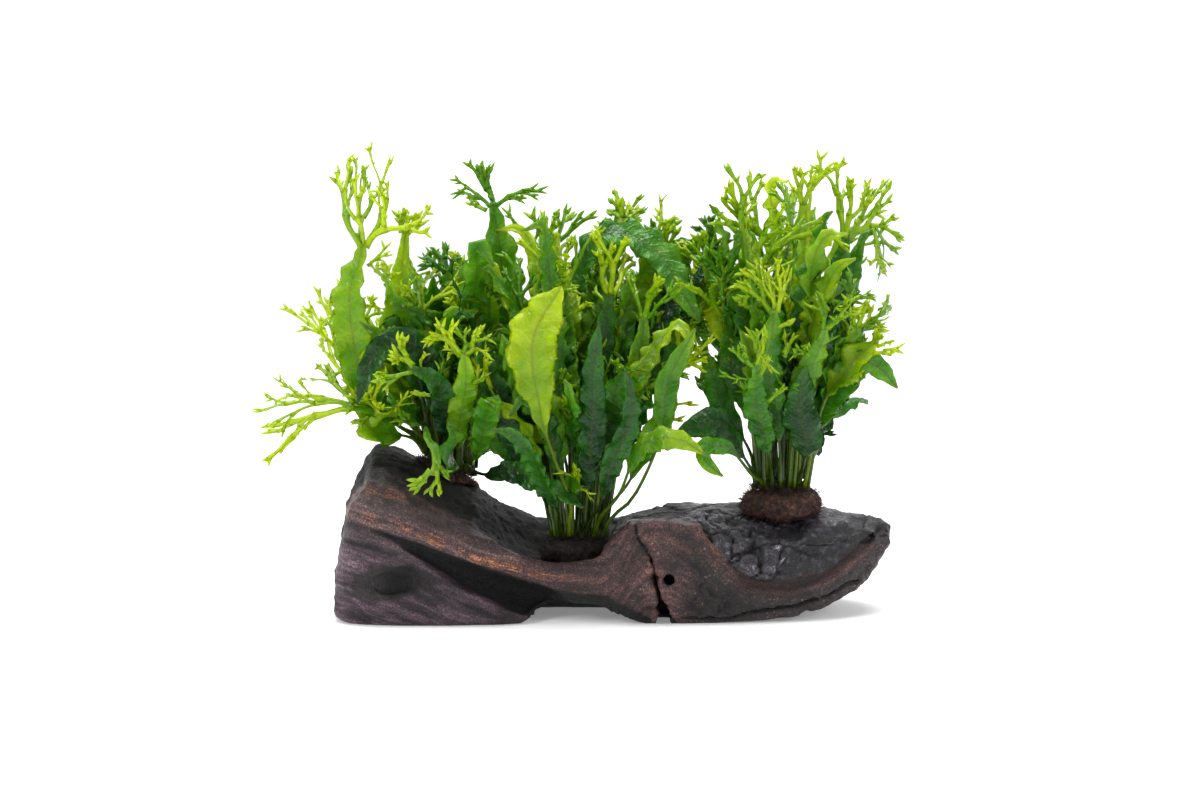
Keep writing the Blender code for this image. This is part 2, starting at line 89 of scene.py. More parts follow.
# Fronds: (clump, row, slot) says where on the rhizome it grows, row -1 in front of it and +1 behind.
# Then the points that it rises through, the width of its blade, the way its face is turned in degrees
# (0 looks to the front, 90 to the right), the share of its length that is bare stalk, and the spread
# of its crest, which runs from the last point but one to the last. No spread means no crest.
FRONDS = [
    # left clump
    ("left", 0, -3, [(-79, 8, 80), (-92, -2, 98), (-97, -7, 118), (-97, -8, 139), (-90, -6, 160),
                     (-86, -4, 198)], 17, 0, 0.12, 46),
    ("left", 1, -2, [(-75, 14, 81), (-83, 14, 112), (-80, 13, 137), (-73, 12, 164), (-70, 12, 178)],
     11, 10, 0.2, 12),
    ("left", 1, -3, [(-81, 22, 78), (-92, 19, 90), (-98, 14, 102), (-117, 8, 134)], 8, -10, 0.3, 24),
    ("left", -1, -3, [(-76, 0, 79), (-87, -10, 88), (-97, -16, 93), (-135, -20, 109)], 7, 0, 0.3, 34),
    ("left", -1, -1, [(-60, -4, 88), (-66, -14, 109), (-76, -22, 118), (-88, -26, 110), (-95, -28, 95)],
     12, 0, 0.25, 0),
    ("left", -1, 0, [(-55, -8, 78), (-59, -24, 99), (-71, -36, 110), (-88, -40, 114)], 11, 0, 0.25, 10),
    ("left", -1, -2, [(-66, -4, 76), (-64, -24, 83), (-61, -40, 77), (-60, -49, 67), (-62, -51, 54)],
     4, 0, 0.5, 9),
    ("left", -1, 3, [(-38, -8, 60), (-24, -18, 63), (-10, -26, 58), (2, -32, 49)], 11, 0, 0.25, 0),
    ("left", 0, 3, [(-42, 2, 69), (-34, 0, 81), (-25, -2, 87), (-13, -4, 86)], 10, 0, 0.25, 0),
    ("left", 1, 0, [(-61, 24, 85), (-64, 31, 115), (-60, 36, 140), (-57, 39, 158)], 12, 170, 0.2, 18),
    ("left", 1, 2, [(-47, 27, 79), (-44, 38, 104), (-36, 46, 120), (-25, 52, 134)], 12, 150, 0.2, 16),
    ("left", 0, 0, [(-60, 6, 87), (-64, 2, 113), (-66, 0, 133), (-65, -2, 154)], 12, -10, 0.2, 18),
    ("left", 0, 1, [(-52, 6, 82), (-48, 3, 108), (-44, 0, 125), (-40, -2, 144)], 11, 15, 0.2, 18),
    ("left", -1, 1, [(-51, -8, 76), (-48, -24, 101), (-47, -36, 118), (-43, -44, 132)], 11, 0, 0.2, 16),
    ("left", -1, 2, [(-44, -8, 68), (-38, -24, 85), (-35, -38, 96), (-34, -50, 98)], 11, 10, 0.25, 0),
    ("left", 1, -1, [(-68, 33, 80), (-79, 45, 97), (-89, 51, 112), (-99, 54, 122)], 12, -150, 0.2, 18),
    ("left", 1, 3, [(-49, 27, 63), (-50, 42, 73), (-55, 54, 75), (-59, 62, 68)], 11, 180, 0.25, 0),
    # middle clump
    ("middle", -1, -1, [(-3, -19, 50), (-11, -30, 74), (-16, -37, 94), (-17, -41, 122), (-7, -43, 145)],
     21, 0, 0.42, 0),
    ("middle", 1, -2, [(-8, 6, 54), (-22, 11, 92), (-30, 13, 127), (-34, 13, 152), (-38, 13, 176),
                       (-38, 13, 195)], 19, 5, 0.3, 24),
    ("middle", 1, 0, [(4, 6, 64), (2, 12, 102), (0, 14, 138), (7, 12, 159), (22, 8, 162), (36, 2, 153),
                      (43, -4, 140), (52, -8, 126)], 15, 0, 0.3, 0),
    ("middle", -1, -3, [(-15, -16, 51), (-29, -24, 79), (-39, -28, 102), (-43, -30, 124)], 12, 15, 0.25, 0),
    ("middle", 0, -3, [(-15, -6, 54), (-34, -3, 79), (-46, -1, 101), (-52, 0, 123)], 12, -15, 0.2, 14),
    ("middle", 0, -2, [(-7, -8, 66), (-16, -10, 103), (-21, -12, 130), (-19, -14, 158)], 12, 0, 0.22, 18),
    ("middle", 0, -1, [(0, -7, 68), (-4, -6, 106), (-7, -4, 140), (-13, -2, 173)], 12, 0, 0.22, 20),
    ("middle", 0, 1, [(8, -7, 70), (12, -7, 109), (13, -6, 140), (15, -4, 176)], 12, 10, 0.22, 20),
    ("middle", 0, 2, [(14, -7, 66), (23, -9, 101), (29, -10, 130), (36, -10, 162)], 12, 0, 0.22, 22),
    ("middle", -1, 3, [(24, -18, 52), (34, -25, 75), (38, -29, 96), (43, -31, 112), (48, -33, 127)],
     10, 0, 0.5, 0),
    ("middle", -1, 2, [(18, -22, 54), (25, -32, 73), (35, -38, 82), (45, -40, 81), (53, -41, 74)],
     11, 0, 0.45, 0),
    ("middle", 0, 3, [(23, -7, 58), (35, -6, 84), (45, -5, 106), (52, -4, 126)], 11, -20, 0.25, 12),
    ("middle", 1, 1, [(8, 7, 70), (14, 22, 100), (18, 33, 128), (22, 41, 150)], 12, 180, 0.2, 18),
    ("middle", 1, 2, [(18, 7, 66), (30, 20, 92), (42, 31, 112), (53, 38, 132)], 12, 140, 0.2, 18),
    ("middle", 1, -3, [(-12, 9, 57), (-25, 27, 87), (-31, 40, 109), (-40, 50, 128)], 12, -160, 0.2, 18),
    ("middle", -1, 0, [(4, -24, 59), (6, -38, 89), (8, -47, 111), (10, -54, 130)], 12, -10, 0.22, 0),
    ("middle", -1, 1, [(10, -22, 50), (16, -38, 73), (20, -48, 94), (21, -54, 112)], 10, 20, 0.25, 0),
    ("middle", -1, -2, [(-9, -24, 49), (-18, -40, 69), (-26, -52, 83), (-34, -60, 89)], 10, -20, 0.25, 0),
    ("middle", 1, -1, [(-2, 5, 74), (-6, 17, 116), (-14, 24, 151), (-20, 27, 177)], 12, 0, 0.2, 22),
    # right clump
    ("right", 0, 1, [(94, 1, 91), (97, 0, 128), (96, 0, 163), (95, 0, 200)], 11, 0, 0.2, 7),
    ("right", 0, -1, [(85, 0, 85), (80, -3, 120), (78, -5, 149), (78, -5, 193)], 12, 10, 0.2, 24),
    ("right", 1, 0, [(89, 10, 84), (91, 18, 121), (89, 21, 152), (88, 21, 191)], 12, 0, 0.2, 24),
    ("right", 0, 2, [(101, 2, 85), (108, 1, 118), (112, 0, 145), (116, -1, 163), (127, 0, 189)],
     17, 15, 0.22, 26),
    ("right", 1, 3, [(108, 12, 83), (115, 17, 121), (119, 18, 152), (129, 16, 163), (137, 13, 140)],
     9, 0, 0.3, 9),
    ("right", 0, 3, [(103, -1, 69), (107, -4, 90), (115, -8, 103), (125, -9, 108), (137, -8, 97)],
     14, -10, 0.3, 0),
    ("right", -1, 2, [(97, -12, 65), (98, -20, 78), (96, -24, 93), (94, -25, 109)], 16, 0, 0.3, 0),
    ("right", -1, -3, [(74, -9, 64), (65, -15, 77), (55, -19, 84), (42, -21, 83)], 14, 0, 0.3, 0),
    ("right", -1, -2, [(75, -16, 61), (65, -26, 74), (56, -32, 78), (54, -36, 73), (62, -38, 65)],
     8, 0, 0.45, 0),
    ("right", 0, -2, [(79, 1, 79), (69, 0, 105), (61, -2, 130), (56, -3, 154)], 12, 0, 0.22, 18),
    ("right", 0, -3, [(74, 4, 70), (62, 6, 92), (53, 7, 113), (46, 8, 135)], 11, -20, 0.22, 12),
    ("right", 1, -2, [(81, 16, 77), (73, 30, 105), (68, 41, 127), (64, 48, 149)], 12, -160, 0.2, 18),
    ("right", 1, 1, [(95, 18, 76), (100, 34, 101), (105, 47, 122), (110, 56, 140)], 12, 170, 0.2, 16),
    ("right", 1, 2, [(101, 16, 66), (113, 32, 81), (122, 46, 86), (129, 56, 81)], 12, 140, 0.25, 0),
    ("right", -1, 0, [(86, -14, 81), (83, -27, 112), (80, -36, 135), (77, -41, 155)], 12, 0, 0.2, 22),
    ("right", -1, -1, [(81, -16, 72), (76, -32, 96), (73, -44, 114), (71, -53, 129)], 11, -10, 0.22, 16),
    ("right", -1, 1, [(93, -15, 77), (99, -29, 105), (103, -40, 128), (108, -47, 144)], 12, 20, 0.22, 16),
]

# How green each frond is: 0 is old and dark, 1 is young and yellow-green. The rest draw their own.
TONES = {
    "left_01": 0.66, "left_02": 0.74, "left_03": 0.66, "left_04": 0.5, "left_05": 0.03, "left_06": 0.1,
    "left_07": 0.55, "left_08": 0.12, "left_09": 0.2, "left_12": 0.62, "left_13": 0.4, "left_14": 0.6,
    "left_15": 0.45, "middle_01": 0.84, "middle_02": 0.42, "middle_03": 0.32, "middle_04": 0.12,
    "middle_10": 0.5, "middle_11": 0.6, "middle_12": 0.55, "middle_16": 0.08, "middle_17": 0.14,
    "middle_18": 0.2, "right_01": 0.7, "right_04": 0.18, "right_05": 0.3, "right_06": 0.42,
    "right_07": 0.12, "right_08": 0.16, "right_09": 0.45, "right_15": 0.4,
}
# Where a blade is widest, as a power of the way along it: above 1 is nearer its tip.
FULLNESS = {"middle_01": 1.45, "middle_03": 1.9, "left_01": 1.1, "right_06": 0.8, "middle_11": 0.85}
FULL_CREST_REACH = 16  # a crest longer than this forks once more, but for the sparse ones
SPARSE_CRESTS = ("middle_07", "middle_08", "middle_09")
FACE_LIFT = 0.45  # how far each blade's face looks up as well as outwards

RING_TOP, YOUNG_RING_TOP = 13, 9  # points across the upper side of a blade
BLADE_STEP, STALK_RINGS = 1.7, 8  # from ring to ring of a blade, and how many its bare stalk has
CURVE_STEPS = 10  # points to each span of a frond's line
# From ruffle to ruffle, from side vein to side vein, and how far a vein runs on for each step outwards.
RUFFLE_LENGTH, VEIN_SPACING, VEIN_SLANT = 10.5, 4.6, 0.75
# The midrib is sunk in the upper side of a blade and proud of its under side.
MIDRIB_HALF_WIDTH, MIDRIB_SUNK, MIDRIB_PROUD = 0.6, 0.10, 0.42
RUFFLE_HEIGHT = 0.36  # as a share of the blade's half width
QUILT_HEIGHT = 0.45  # how far the blade swells between its side veins
MARGIN_THICKNESS, MIDDLE_THICKNESS = 0.17, 0.10  # half a blade's thickness, and what its middle adds to it
CRESTED_TIP, PLAIN_TIP = 1.9, 0.5  # half the width of a blade where its crest starts, or where it ends
ROUND = 6.28  # a full turn, for a phase drawn at random

# Crests: the first ribs' share of the reach and half their width, the prongs' lengths, how often a rib
# has a side prong or ends in a third one, and the lengths of the next ribs, main and lesser, beside its own.
RIB_SHARES, RIB_WIDTHS = (0.33, 0.47), (1.05, 1.7)
PRONG_LENGTHS, SIDE_PRONG_LENGTHS = (2, 5.5), (2, 4.5)
SIDE_PRONG_SHARE, THIRD_PRONG_SHARE = 0.55, 0.2
MAIN_SHARES, LESSER_SHARES = (0.8, 1.05), (0.45, 0.8)
TUFT_LENGTHS, TUFT_WIDTHS = (3, 7.5), (0.8, 1.3)

# The small fronds that are past the solids: how many each clump has, and how far along X their tips reach.
YOUNG_FRONDS = {"left": (46, -104, -28), "middle": (62, -50, 70), "right": (48, 46, 134)}
YOUNG_DEPTH, YOUNG_WIDTHS = 44, (7, 15)  # how far their tips reach along Y, and how wide they are
CRESTED_SHARE, HANGING_SHARE = 0.6, 0.35  # of the small fronds; more of them hang low down
# The top and the foot of the leafy part of the whole plant, as (x, z).
CANOPY_TOP = [(-104, 112), (-92, 138), (-78, 152), (-50, 156), (-25, 172), (10, 176), (60, 176), (80, 186),
              (112, 182), (128, 166), (136, 140)]
CANOPY_FOOT = [(-104, 88), (-70, 68), (-20, 62), (10, 66), (40, 86), (56, 106), (72, 86), (110, 84),
               (134, 108)]
OPEN_FROM, OPEN_ABOVE = -12, 120  # over the middle clump, small fronds past here stay behind the tall ones


# ---------------------------------------------------------------- frame and shared helpers
def design_shift():
    """How far the frame holds the design from its own origin, in millimetres."""
    wood_low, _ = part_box("driftwood")
    low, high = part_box("rhizome_left")
    return np.array([wood_low.x / MM - WOOD_LEFT, (low.y + high.y) / 2 / MM - PLUGS["left"][0][1], 0.0])


SHIFT = design_shift()


def to_frame(points):
    return (np.asarray(points, float) + SHIFT) * MM


def to_design(points):
    return np.asarray(points, float) / MM - SHIFT


def unit(vector):
    return vector / max(np.linalg.norm(vector), 1e-9)


def unit_rows(vectors):
    return vectors / (np.linalg.norm(vectors, axis=1, keepdims=True) + 1e-9)


def ease(share):
    share = np.clip(share, 0.0, 1.0)
    return share * share * (3 - 2 * share)


def between(value, low, high, soft):
    """1 between low and high, fading to 0 over a soft stretch at each end."""
    return ease((value - low) / soft + 0.5) * ease((high - value) / soft + 0.5)


def profile(pairs, x):
    return np.interp(x, [p[0] for p in pairs], [p[1] for p in pairs])


def new_object(name, data, owner=None):
    """An object linked to the scene's own collection, or to another that owns it."""
    made = bpy.data.objects.new(name, data)
    if owner is None:
        owner = bpy.context.scene.collection
    owner.objects.link(made)
    return made


def surface_of(mesh):
    """The design points of a mesh, and the direction that the surface faces at each."""
    points, normals = np.empty((2, len(mesh.vertices) * 3), np.float32)
    mesh.vertices.foreach_get("co", points)
    mesh.vertex_normals.foreach_get("vector", normals)
    return to_design(points.reshape(-1, 3)), normals.reshape(-1, 3).astype(float)


def write_points(mesh, points):
    mesh.vertices.foreach_set("co", to_frame(points).astype(np.float32).ravel())
    mesh.update()


def write_attributes(mesh, attributes, uv):
    """Point attributes and a UV map, all given point by point."""
    for key, values in attributes.items():
        mesh.attributes.new(key, "FLOAT", "POINT").data.foreach_set("value", np.asarray(values, np.float32))
    corners = np.empty(len(mesh.loops), np.int32)
    mesh.loops.foreach_get("vertex_index", corners)
    layer = mesh.uv_layers.new(name="UVMap")
    layer.data.foreach_set("uv", np.asarray(uv, np.float32)[corners].ravel())


def ring_faces(rings, corners, first=0):
    """Faces over a run of rings, closed round each ring and capped at both ends."""
    ring, corner = np.arange(rings - 1)[:, None], np.arange(corners)
    low = first + ring * corners + corner
    after = first + ring * corners + (corner + 1) % corners
    quads = np.stack([low, after, after + corners, low + corners], axis=-1).reshape(-1, 4).tolist()
    last = first + (rings - 1) * corners
    return quads + [list(range(first, first + corners))[::-1], list(range(last, last + corners))]


class Build:
    """Collects the points, faces and attributes of one piece as its parts are made."""

    def __init__(self):
        self.points, self.faces, self.tone, self.rib, self.uv = [], [], [], [], []
        self.count = 0

    def add_rings(self, rings, tone, rib, uv):
        number, corners = rings.shape[:2]
        self.faces += ring_faces(number, corners, self.count)
        self.points.append(rings.reshape(-1, 3))
        self.tone.append(np.broadcast_to(tone, (number, corners)).ravel())
        self.rib.append(np.broadcast_to(rib, (number, corners)).ravel())
        self.uv.append(np.stack(np.broadcast_arrays(*uv), axis=-1).reshape(-1, 2))
        self.count += number * corners

    def piece(self, name, material):
        mesh = bpy.data.meshes.new(name)
        mesh.from_pydata(to_frame(np.concatenate(self.points)).tolist(), [], self.faces)
        mesh.shade_smooth()
        write_attributes(mesh, {"tone": np.concatenate(self.tone), "rib": np.concatenate(self.rib)},
                         np.concatenate(self.uv))
        mesh.materials.append(material)
        return new_object(name, mesh)


# ---------------------------------------------------------------- fronds
# A blade on its line: the length run at each point, where it ends and where its bare stalk stops as
# shares of the line, the way it faces, its width, its tone and its fullness.
Blade = namedtuple("Blade", "line run end stalk face width tone fullness")


def smooth_line(points):
    """Points along a smooth curve through the given ones, with the length run at each."""
    knots = [np.array(p, float) for p in points]
    knots = [2 * knots[0] - knots[1], *knots, 2 * knots[-1] - knots[-2]]
    line = []
    for i in range(1, len(knots) - 2):
        a, b, c, d = knots[i - 1:i + 3]
        for step in range(CURVE_STEPS):
            t = step / CURVE_STEPS
            line.append(0.5 * (2 * b + (c - a) * t + (2 * a - 5 * b + 4 * c - d) * t**2
                               + (3 * b - a - 3 * c + d) * t**3))
    line.append(knots[-2])
    return np.array(line), run_of(line)


def run_of(line):
    return np.concatenate([[0], np.cumsum(np.linalg.norm(np.diff(line, axis=0), axis=1))])


def along(line, run, length):
    return np.stack([np.interp(length, run, line[:, axis]) for axis in range(3)], axis=-1)


def turn_y(vector, degrees):
    c, s = math.cos(math.radians(degrees)), math.sin(math.radians(degrees))
    x, y, z = vector
    return np.array([c * x + s * z, y, c * z - s * x])


def facing(degrees, lift):
    """The way a face looks when it is turned from the front and lifted."""
    return np.array([math.sin(math.radians(degrees)), -math.cos(math.radians(degrees)), lift])


def rhizome_centre(clump):
    centre, half, slope = PLUGS[clump]
    return np.array(centre) + turn_y((0, 0, half[2] + RHIZOME_RADIUS + GAP), slope)


def frond_base(clump, row, slot):
    lift = 0 if row else RHIZOME_RADIUS + 2 * GAP
    return rhizome_centre(clump) + turn_y((slot * SLOT_PITCH, row * ROW_PITCH, lift), PLUGS[clump][2])


def frond_line(clump, row, slot, points, swing):
    base = frond_base(clump, row, slot)
    knee = base + (np.array(points[0], float) - base) * (0.25, 0.25, 0.45)
    moved = [(x, y + swing * min(1.0, (i + 1) / 2), z) for i, (x, y, z) in enumerate(points)]
    return smooth_line([base, knee, *moved])


def settled_swing(name, frond):
    """The swing that the frame's own frond stands at, found by the middle of its box."""
    low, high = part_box("frond_" + name)
    box_middle = to_design((low + high) / 2)[1]
    box_reach = (high - low).y / MM
    best = None
    for swing in SWINGS:
        line, _ = frond_line(*frond[:4], swing)
        middle = (line[:, 1].min() + line[:, 1].max()) / 2
        reach = line[:, 1].max() - line[:, 1].min()
        miss = abs(middle - box_middle) + 0.3 * max(0.0, reach - box_reach)
        if best is None or miss < best[0] - 0.05:
            best = (miss, swing)
    return best[1]


def lance(share, fullness):
    return np.where((share > 0) & (share < 1), np.sin(np.pi * np.clip(share, 0, 1)**fullness)**0.68, 0.0)


def frames_along(centres, face):
    """Heading, sideways and outward directions at each centre."""
    heading = unit_rows(np.gradient(centres, axis=0))
    side = unit_rows(np.cross(heading, face))
    return heading, side, np.cross(side, heading)


def swayed_frames(draw, centres, face, on_blade):
    """A blade's headings, and its sideways and outward directions and centres once it sways and twists."""
    heading, side, out = frames_along(centres, face)
    sway = draw.uniform(1.0, 2.6) * ease(on_blade * 2)
    sway = sway * np.sin(2 * np.pi * on_blade * 0.9 + draw.uniform(0, ROUND))
    centres = centres + side * sway + out * 0.7 * np.roll(sway, 3, axis=0) * ease(on_blade * 4)
    lean, swing = draw.uniform(-14, 14), draw.uniform(8, 22)
    wave = np.sin(2 * np.pi * on_blade * 0.8 + draw.uniform(0, 6))
    twist = np.radians(lean + swing * wave * ease(on_blade * 3))
    cos, sin = np.cos(twist), np.sin(twist)
    return heading, side * cos + out * sin, out * cos - side * sin, centres


def add_blade(build, draw, blade, crested, ruffled=1.0, ring_top=RING_TOP):
    """A stalk that widens into a lance-shaped blade with a midrib, quilted veins and ruffled margins.

    Its columns of numbers run along the blade and its rows across it. Returns the heading, the sideways and
    outward directions and the centre at its end.
    """
    blade_length = (blade.end - blade.stalk) * blade.run[-1]
    blade_rings = int(np.clip(blade_length / BLADE_STEP, 12, 80))
    shares = np.concatenate([np.linspace(0, blade.stalk, STALK_RINGS + 1)[:-1],
                             np.linspace(blade.stalk, blade.end, blade_rings)])[:, None]
    on_blade = np.clip((shares - blade.stalk) / (blade.end - blade.stalk), 0, 1)
    centres = along(blade.line, blade.run, shares[:, 0] * blade.run[-1])
    heading, side, out, centres = swayed_frames(draw, centres, blade.face, on_blade)
    length = on_blade * blade_length

    stem_half = STEM_WIDTH / 2 * (1.1 - 0.35 * np.clip(shares / max(blade.stalk, 0.01), 0, 1))
    half = blade.width / 2 * lance(on_blade, blade.fullness)
    half = np.maximum(half, np.where(on_blade > 0.5, CRESTED_TIP if crested else PLAIN_TIP, 0))
    bladed = ease(half / 2.2)
    half = np.maximum(half, np.where(on_blade > 0.6, 0, stem_half))

    across = np.concatenate([np.linspace(-1, 1, ring_top), np.linspace(1, -1, ring_top)[1:-1]])
    upper = np.concatenate([np.ones(ring_top), -np.ones(ring_top - 2)])
    edge = np.abs(across)
    phase = np.where(across > 0, draw.uniform(0, ROUND), draw.uniform(0, ROUND))
    pace = 2 * np.pi * length / (RUFFLE_LENGTH * draw.uniform(0.8, 1.25))
    drift = 1.3 * np.sin(length / 23 + phase)
    scallop = 0.07 * np.sin(pace + phase + drift) + 0.045 * np.sin(2.7 * pace + 2 * phase)
    spread = across * half * (1 + bladed * edge**2 * scallop)
    rise = ruffled * bladed * edge**2.1 * half * RUFFLE_HEIGHT * np.sin(pace + phase + 1.1 + drift)
    cup = draw.choice([-1, 1]) * draw.uniform(0.05, 0.3)
    rise = rise + bladed * cup * half * edge**1.4
    vein = np.sin(2 * np.pi * (length - VEIN_SLANT * edge * half) / VEIN_SPACING)
    rise = rise + bladed * QUILT_HEIGHT * vein * edge * (1 - edge) * 2.4

    thin = (MARGIN_THICKNESS + MIDDLE_THICKNESS * (1 - edge)) * (1 - edge**8)
    rib = np.exp(-(edge * half / MIDRIB_HALF_WIDTH)**2)
    rib_lift = np.where(upper > 0, -MIDRIB_SUNK, MIDRIB_PROUD) * rib
    stem_thick = STEM_THICKNESS / 2 * np.sqrt(np.clip(1 - edge**2, 0, 1))
    thick = bladed * (thin + rib_lift * (1 - edge**2)) + (1 - bladed) * stem_thick
    lift = rise + upper * thick
    rings = centres[:, None, :] + side[:, None, :] * spread[..., None] + out[:, None, :] * lift[..., None]
    shade = blade.tone + 0.26 * (on_blade - 0.6) + 0.12 * edge**2 * bladed + 0.06 * np.sin(length / 9 + phase)
    build.add_rings(rings, shade, np.maximum(rib, 1 - bladed), (across * half, length))
    return heading[-1], side[-1], out[-1], centres[-1]


def add_ribbon(build, path, widths, flat, tone):
    """A thin ribbon along a path, lying square to the direction given by flat, with a raised rib."""
    path, widths = np.asarray(path), np.asarray(widths)[:, None]
    _, side, up = frames_along(path, flat)
    thick = np.minimum(0.32, widths * 0.3)
    sideways, upwards = side * widths, up * thick
    rings = np.stack([path - sideways, path + upwards, path + sideways, path - upwards], axis=1)
    run = run_of(path)[:, None]
    shade = tone + 0.1 * (run / max(run[-1, 0], 1e-6))
    across, rib = np.array([-1, 0, 1, 0]), 0.35 * np.array([0, 1, 0, 1])
    build.add_rings(rings, shade, rib, (across * widths, run))


def ribbon_path(draw, start, angle, tilt, length, plane, step_length=1.3):
    """A path that bends within its plane and curls out of it, with its angle and tilt at the end."""
    ahead, sideways, out = plane
    steps = max(3, int(length / step_length))
    bend, curl, sway = draw.uniform(-0.5, 0.5), draw.uniform(-0.6, 0.6), draw.uniform(0, ROUND)
    path = [np.array(start)]
    for step in range(1, steps + 1):
        wave = 0.16 * math.sin(sway + step * step_length / 2.5)
        turned, raised = angle + bend * step / steps + wave, tilt + curl * step / steps
        flat_step = ahead * math.cos(turned) + sideways * math.sin(turned)
        path.append(path[-1] + (flat_step * math.cos(raised) + out * math.sin(raised)) * length / steps)
    return path, angle + bend, tilt + curl


def add_prong(build, draw, start, angle, tilt, length, width, plane, tone):
    """A blunt tooth at the edge or the end of a ribbon."""
    path, _, _ = ribbon_path(draw, start, angle, tilt, length, plane, 1.1)
    share = np.linspace(0, 1, len(path))
    add_ribbon(build, path, width * (1 - share**2.4) + 0.08, plane[2], tone)


def fork(build, draw, start, angle, tilt, length, width, level, plane, tone):
    """One rib of a crest: a wavy ribbon that forks unevenly and ends in blunt prongs."""
    path, angle_end, tilt_end = ribbon_path(draw, start, angle, tilt, length, plane)
    share = np.linspace(0, 1, len(path))
    widths = width * (1 - 0.25 * np.sin(np.pi * share) + 0.4 * share**4)
    add_ribbon(build, path, widths, plane[2] + 0.35 * plane[1] * math.sin(5 * angle), tone)
    if draw.random() < SIDE_PRONG_SHARE and length > 5:
        place = int(len(path) * draw.uniform(0.35, 0.75))
        add_prong(build, draw, path[place], angle + draw.choice([-1, 1]) * draw.uniform(0.3, 0.8), tilt,
                  draw.uniform(*SIDE_PRONG_LENGTHS), width * 0.7, plane, tone + 0.06)
    prongs = 3 if draw.random() < THIRD_PRONG_SHARE else 2
    opening = draw.uniform(0.2, 0.5)
    main = draw.integers(prongs)
    side = unit(np.cross(path[-1] - path[-2], plane[2]))
    root = path[-1] - unit(path[-1] - path[-2]) * width * 0.7
    for prong in range(prongs):
        lean = prong / (prongs - 1) * 2 - 1
        child_angle = angle_end + lean * opening * (0.5 if prong == main else 1.2) + draw.uniform(-0.15, 0.15)
        child_tilt = tilt_end + draw.uniform(-0.4, 0.4)
        child = (build, draw, root + side * lean * width * 0.45, child_angle, child_tilt)
        if level == 0:
            add_prong(*child, draw.uniform(*PRONG_LENGTHS), width * 0.75, plane, tone + 0.05)
        else:
            part = draw.uniform(*(MAIN_SHARES if prong == main else LESSER_SHARES))
            fork(*child, length * part, width * 0.8, level - 1, plane, tone + 0.04)


def add_crest(build, draw, tip, plane, reach, spread, tone, depth):
    """A fan of forking ribs that fills the spread at the end of a blade."""
    half_angle = math.atan2(spread / 2, reach * 0.8)
    ribs = int(np.clip(round(1.6 + spread / 13), 2, 5))
    for rib in range(ribs):
        share = rib / (ribs - 1) * 2 - 1
        angle = share * half_angle + draw.uniform(-0.1, 0.1)
        length = reach * draw.uniform(*RIB_SHARES)
        start = tip + plane[1] * share * 1.3 - plane[0] * 2.0
        fork(build, draw, start, angle, draw.uniform(-0.45, 0.45), length, draw.uniform(*RIB_WIDTHS), depth,
             plane, tone + draw.uniform(-0.12, 0.12))


def add_side_tufts(build, draw, blade, tufts):
    """Small forked tufts that leave the margins near the end of a crested blade."""
    for _ in range(tufts):
        share = draw.uniform(0.5, 0.97)
        hand = draw.choice([-1, 1])
        place = blade.stalk + share * (blade.end - blade.stalk)
        centre = along(blade.line, blade.run, place * blade.run[-1])
        ahead = unit(along(blade.line, blade.run, min(place + 0.02, 1) * blade.run[-1]) - centre)
        side = unit(np.cross(ahead, blade.face))
        start = centre + hand * side * blade.width / 2 * float(lance(np.array(share), blade.fullness)) * 0.8
        fork(build, draw, start, hand * draw.uniform(0.4, 1.1), draw.uniform(-0.6, 0.6),
             draw.uniform(*TUFT_LENGTHS), draw.uniform(*TUFT_WIDTHS), draw.integers(0, 2),
             (ahead, side, np.cross(side, ahead)), blade.tone + draw.uniform(-0.15, 0.1))


def build_frond(name, frond, draw):
    clump, row, slot, points, width, turned, stalk, spread = frond
    line, run = frond_line(clump, row, slot, points, settled_swing(name, frond))
    crested = spread > 0
    end = run[-1 - CURVE_STEPS] / run[-1] if crested else 1.0
    tone = TONES.get(name, float(draw.uniform(0.1, 0.5)))
    fullness = FULLNESS.get(name, float(draw.uniform(0.75, 1.1)))
    blade = Blade(line, run, end, stalk, facing(turned, FACE_LIFT), width, tone, fullness)
    build = Build()
    _, side, _, tip = add_blade(build, draw, blade, crested)
    if crested:
        reach = (1 - end) * run[-1]
        crest_tone = min(0.88, max(tone + 0.15, 0.45 + 0.4 * draw.random()))
        onward = unit(along(line, run, run[-1]) - tip)
        side = unit(side - onward * np.dot(side, onward))
        full = reach > FULL_CREST_REACH and name not in SPARSE_CRESTS
        add_crest(build, draw, tip, (onward, side, np.cross(side, onward)), reach, spread, crest_tone,
                  2 if full else 1)
        add_side_tufts(build, draw, blade._replace(tone=crest_tone), draw.integers(3, 7) if full else 1)
    return build


def make_fronds(material):
    numbers = {clump: 0 for clump in PLUGS}
    for index, frond in enumerate(FRONDS):
        clump, spread = frond[0], frond[-1]
        numbers[clump] += 1
        name = f"{clump}_{numbers[clump]:02d}"
        draw = np.random.default_rng(SEED + index)
        piece = build_frond(name, frond, draw).piece("fern_frond_" + name, material)
        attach(piece, "root")
        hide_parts("frond_" + name)


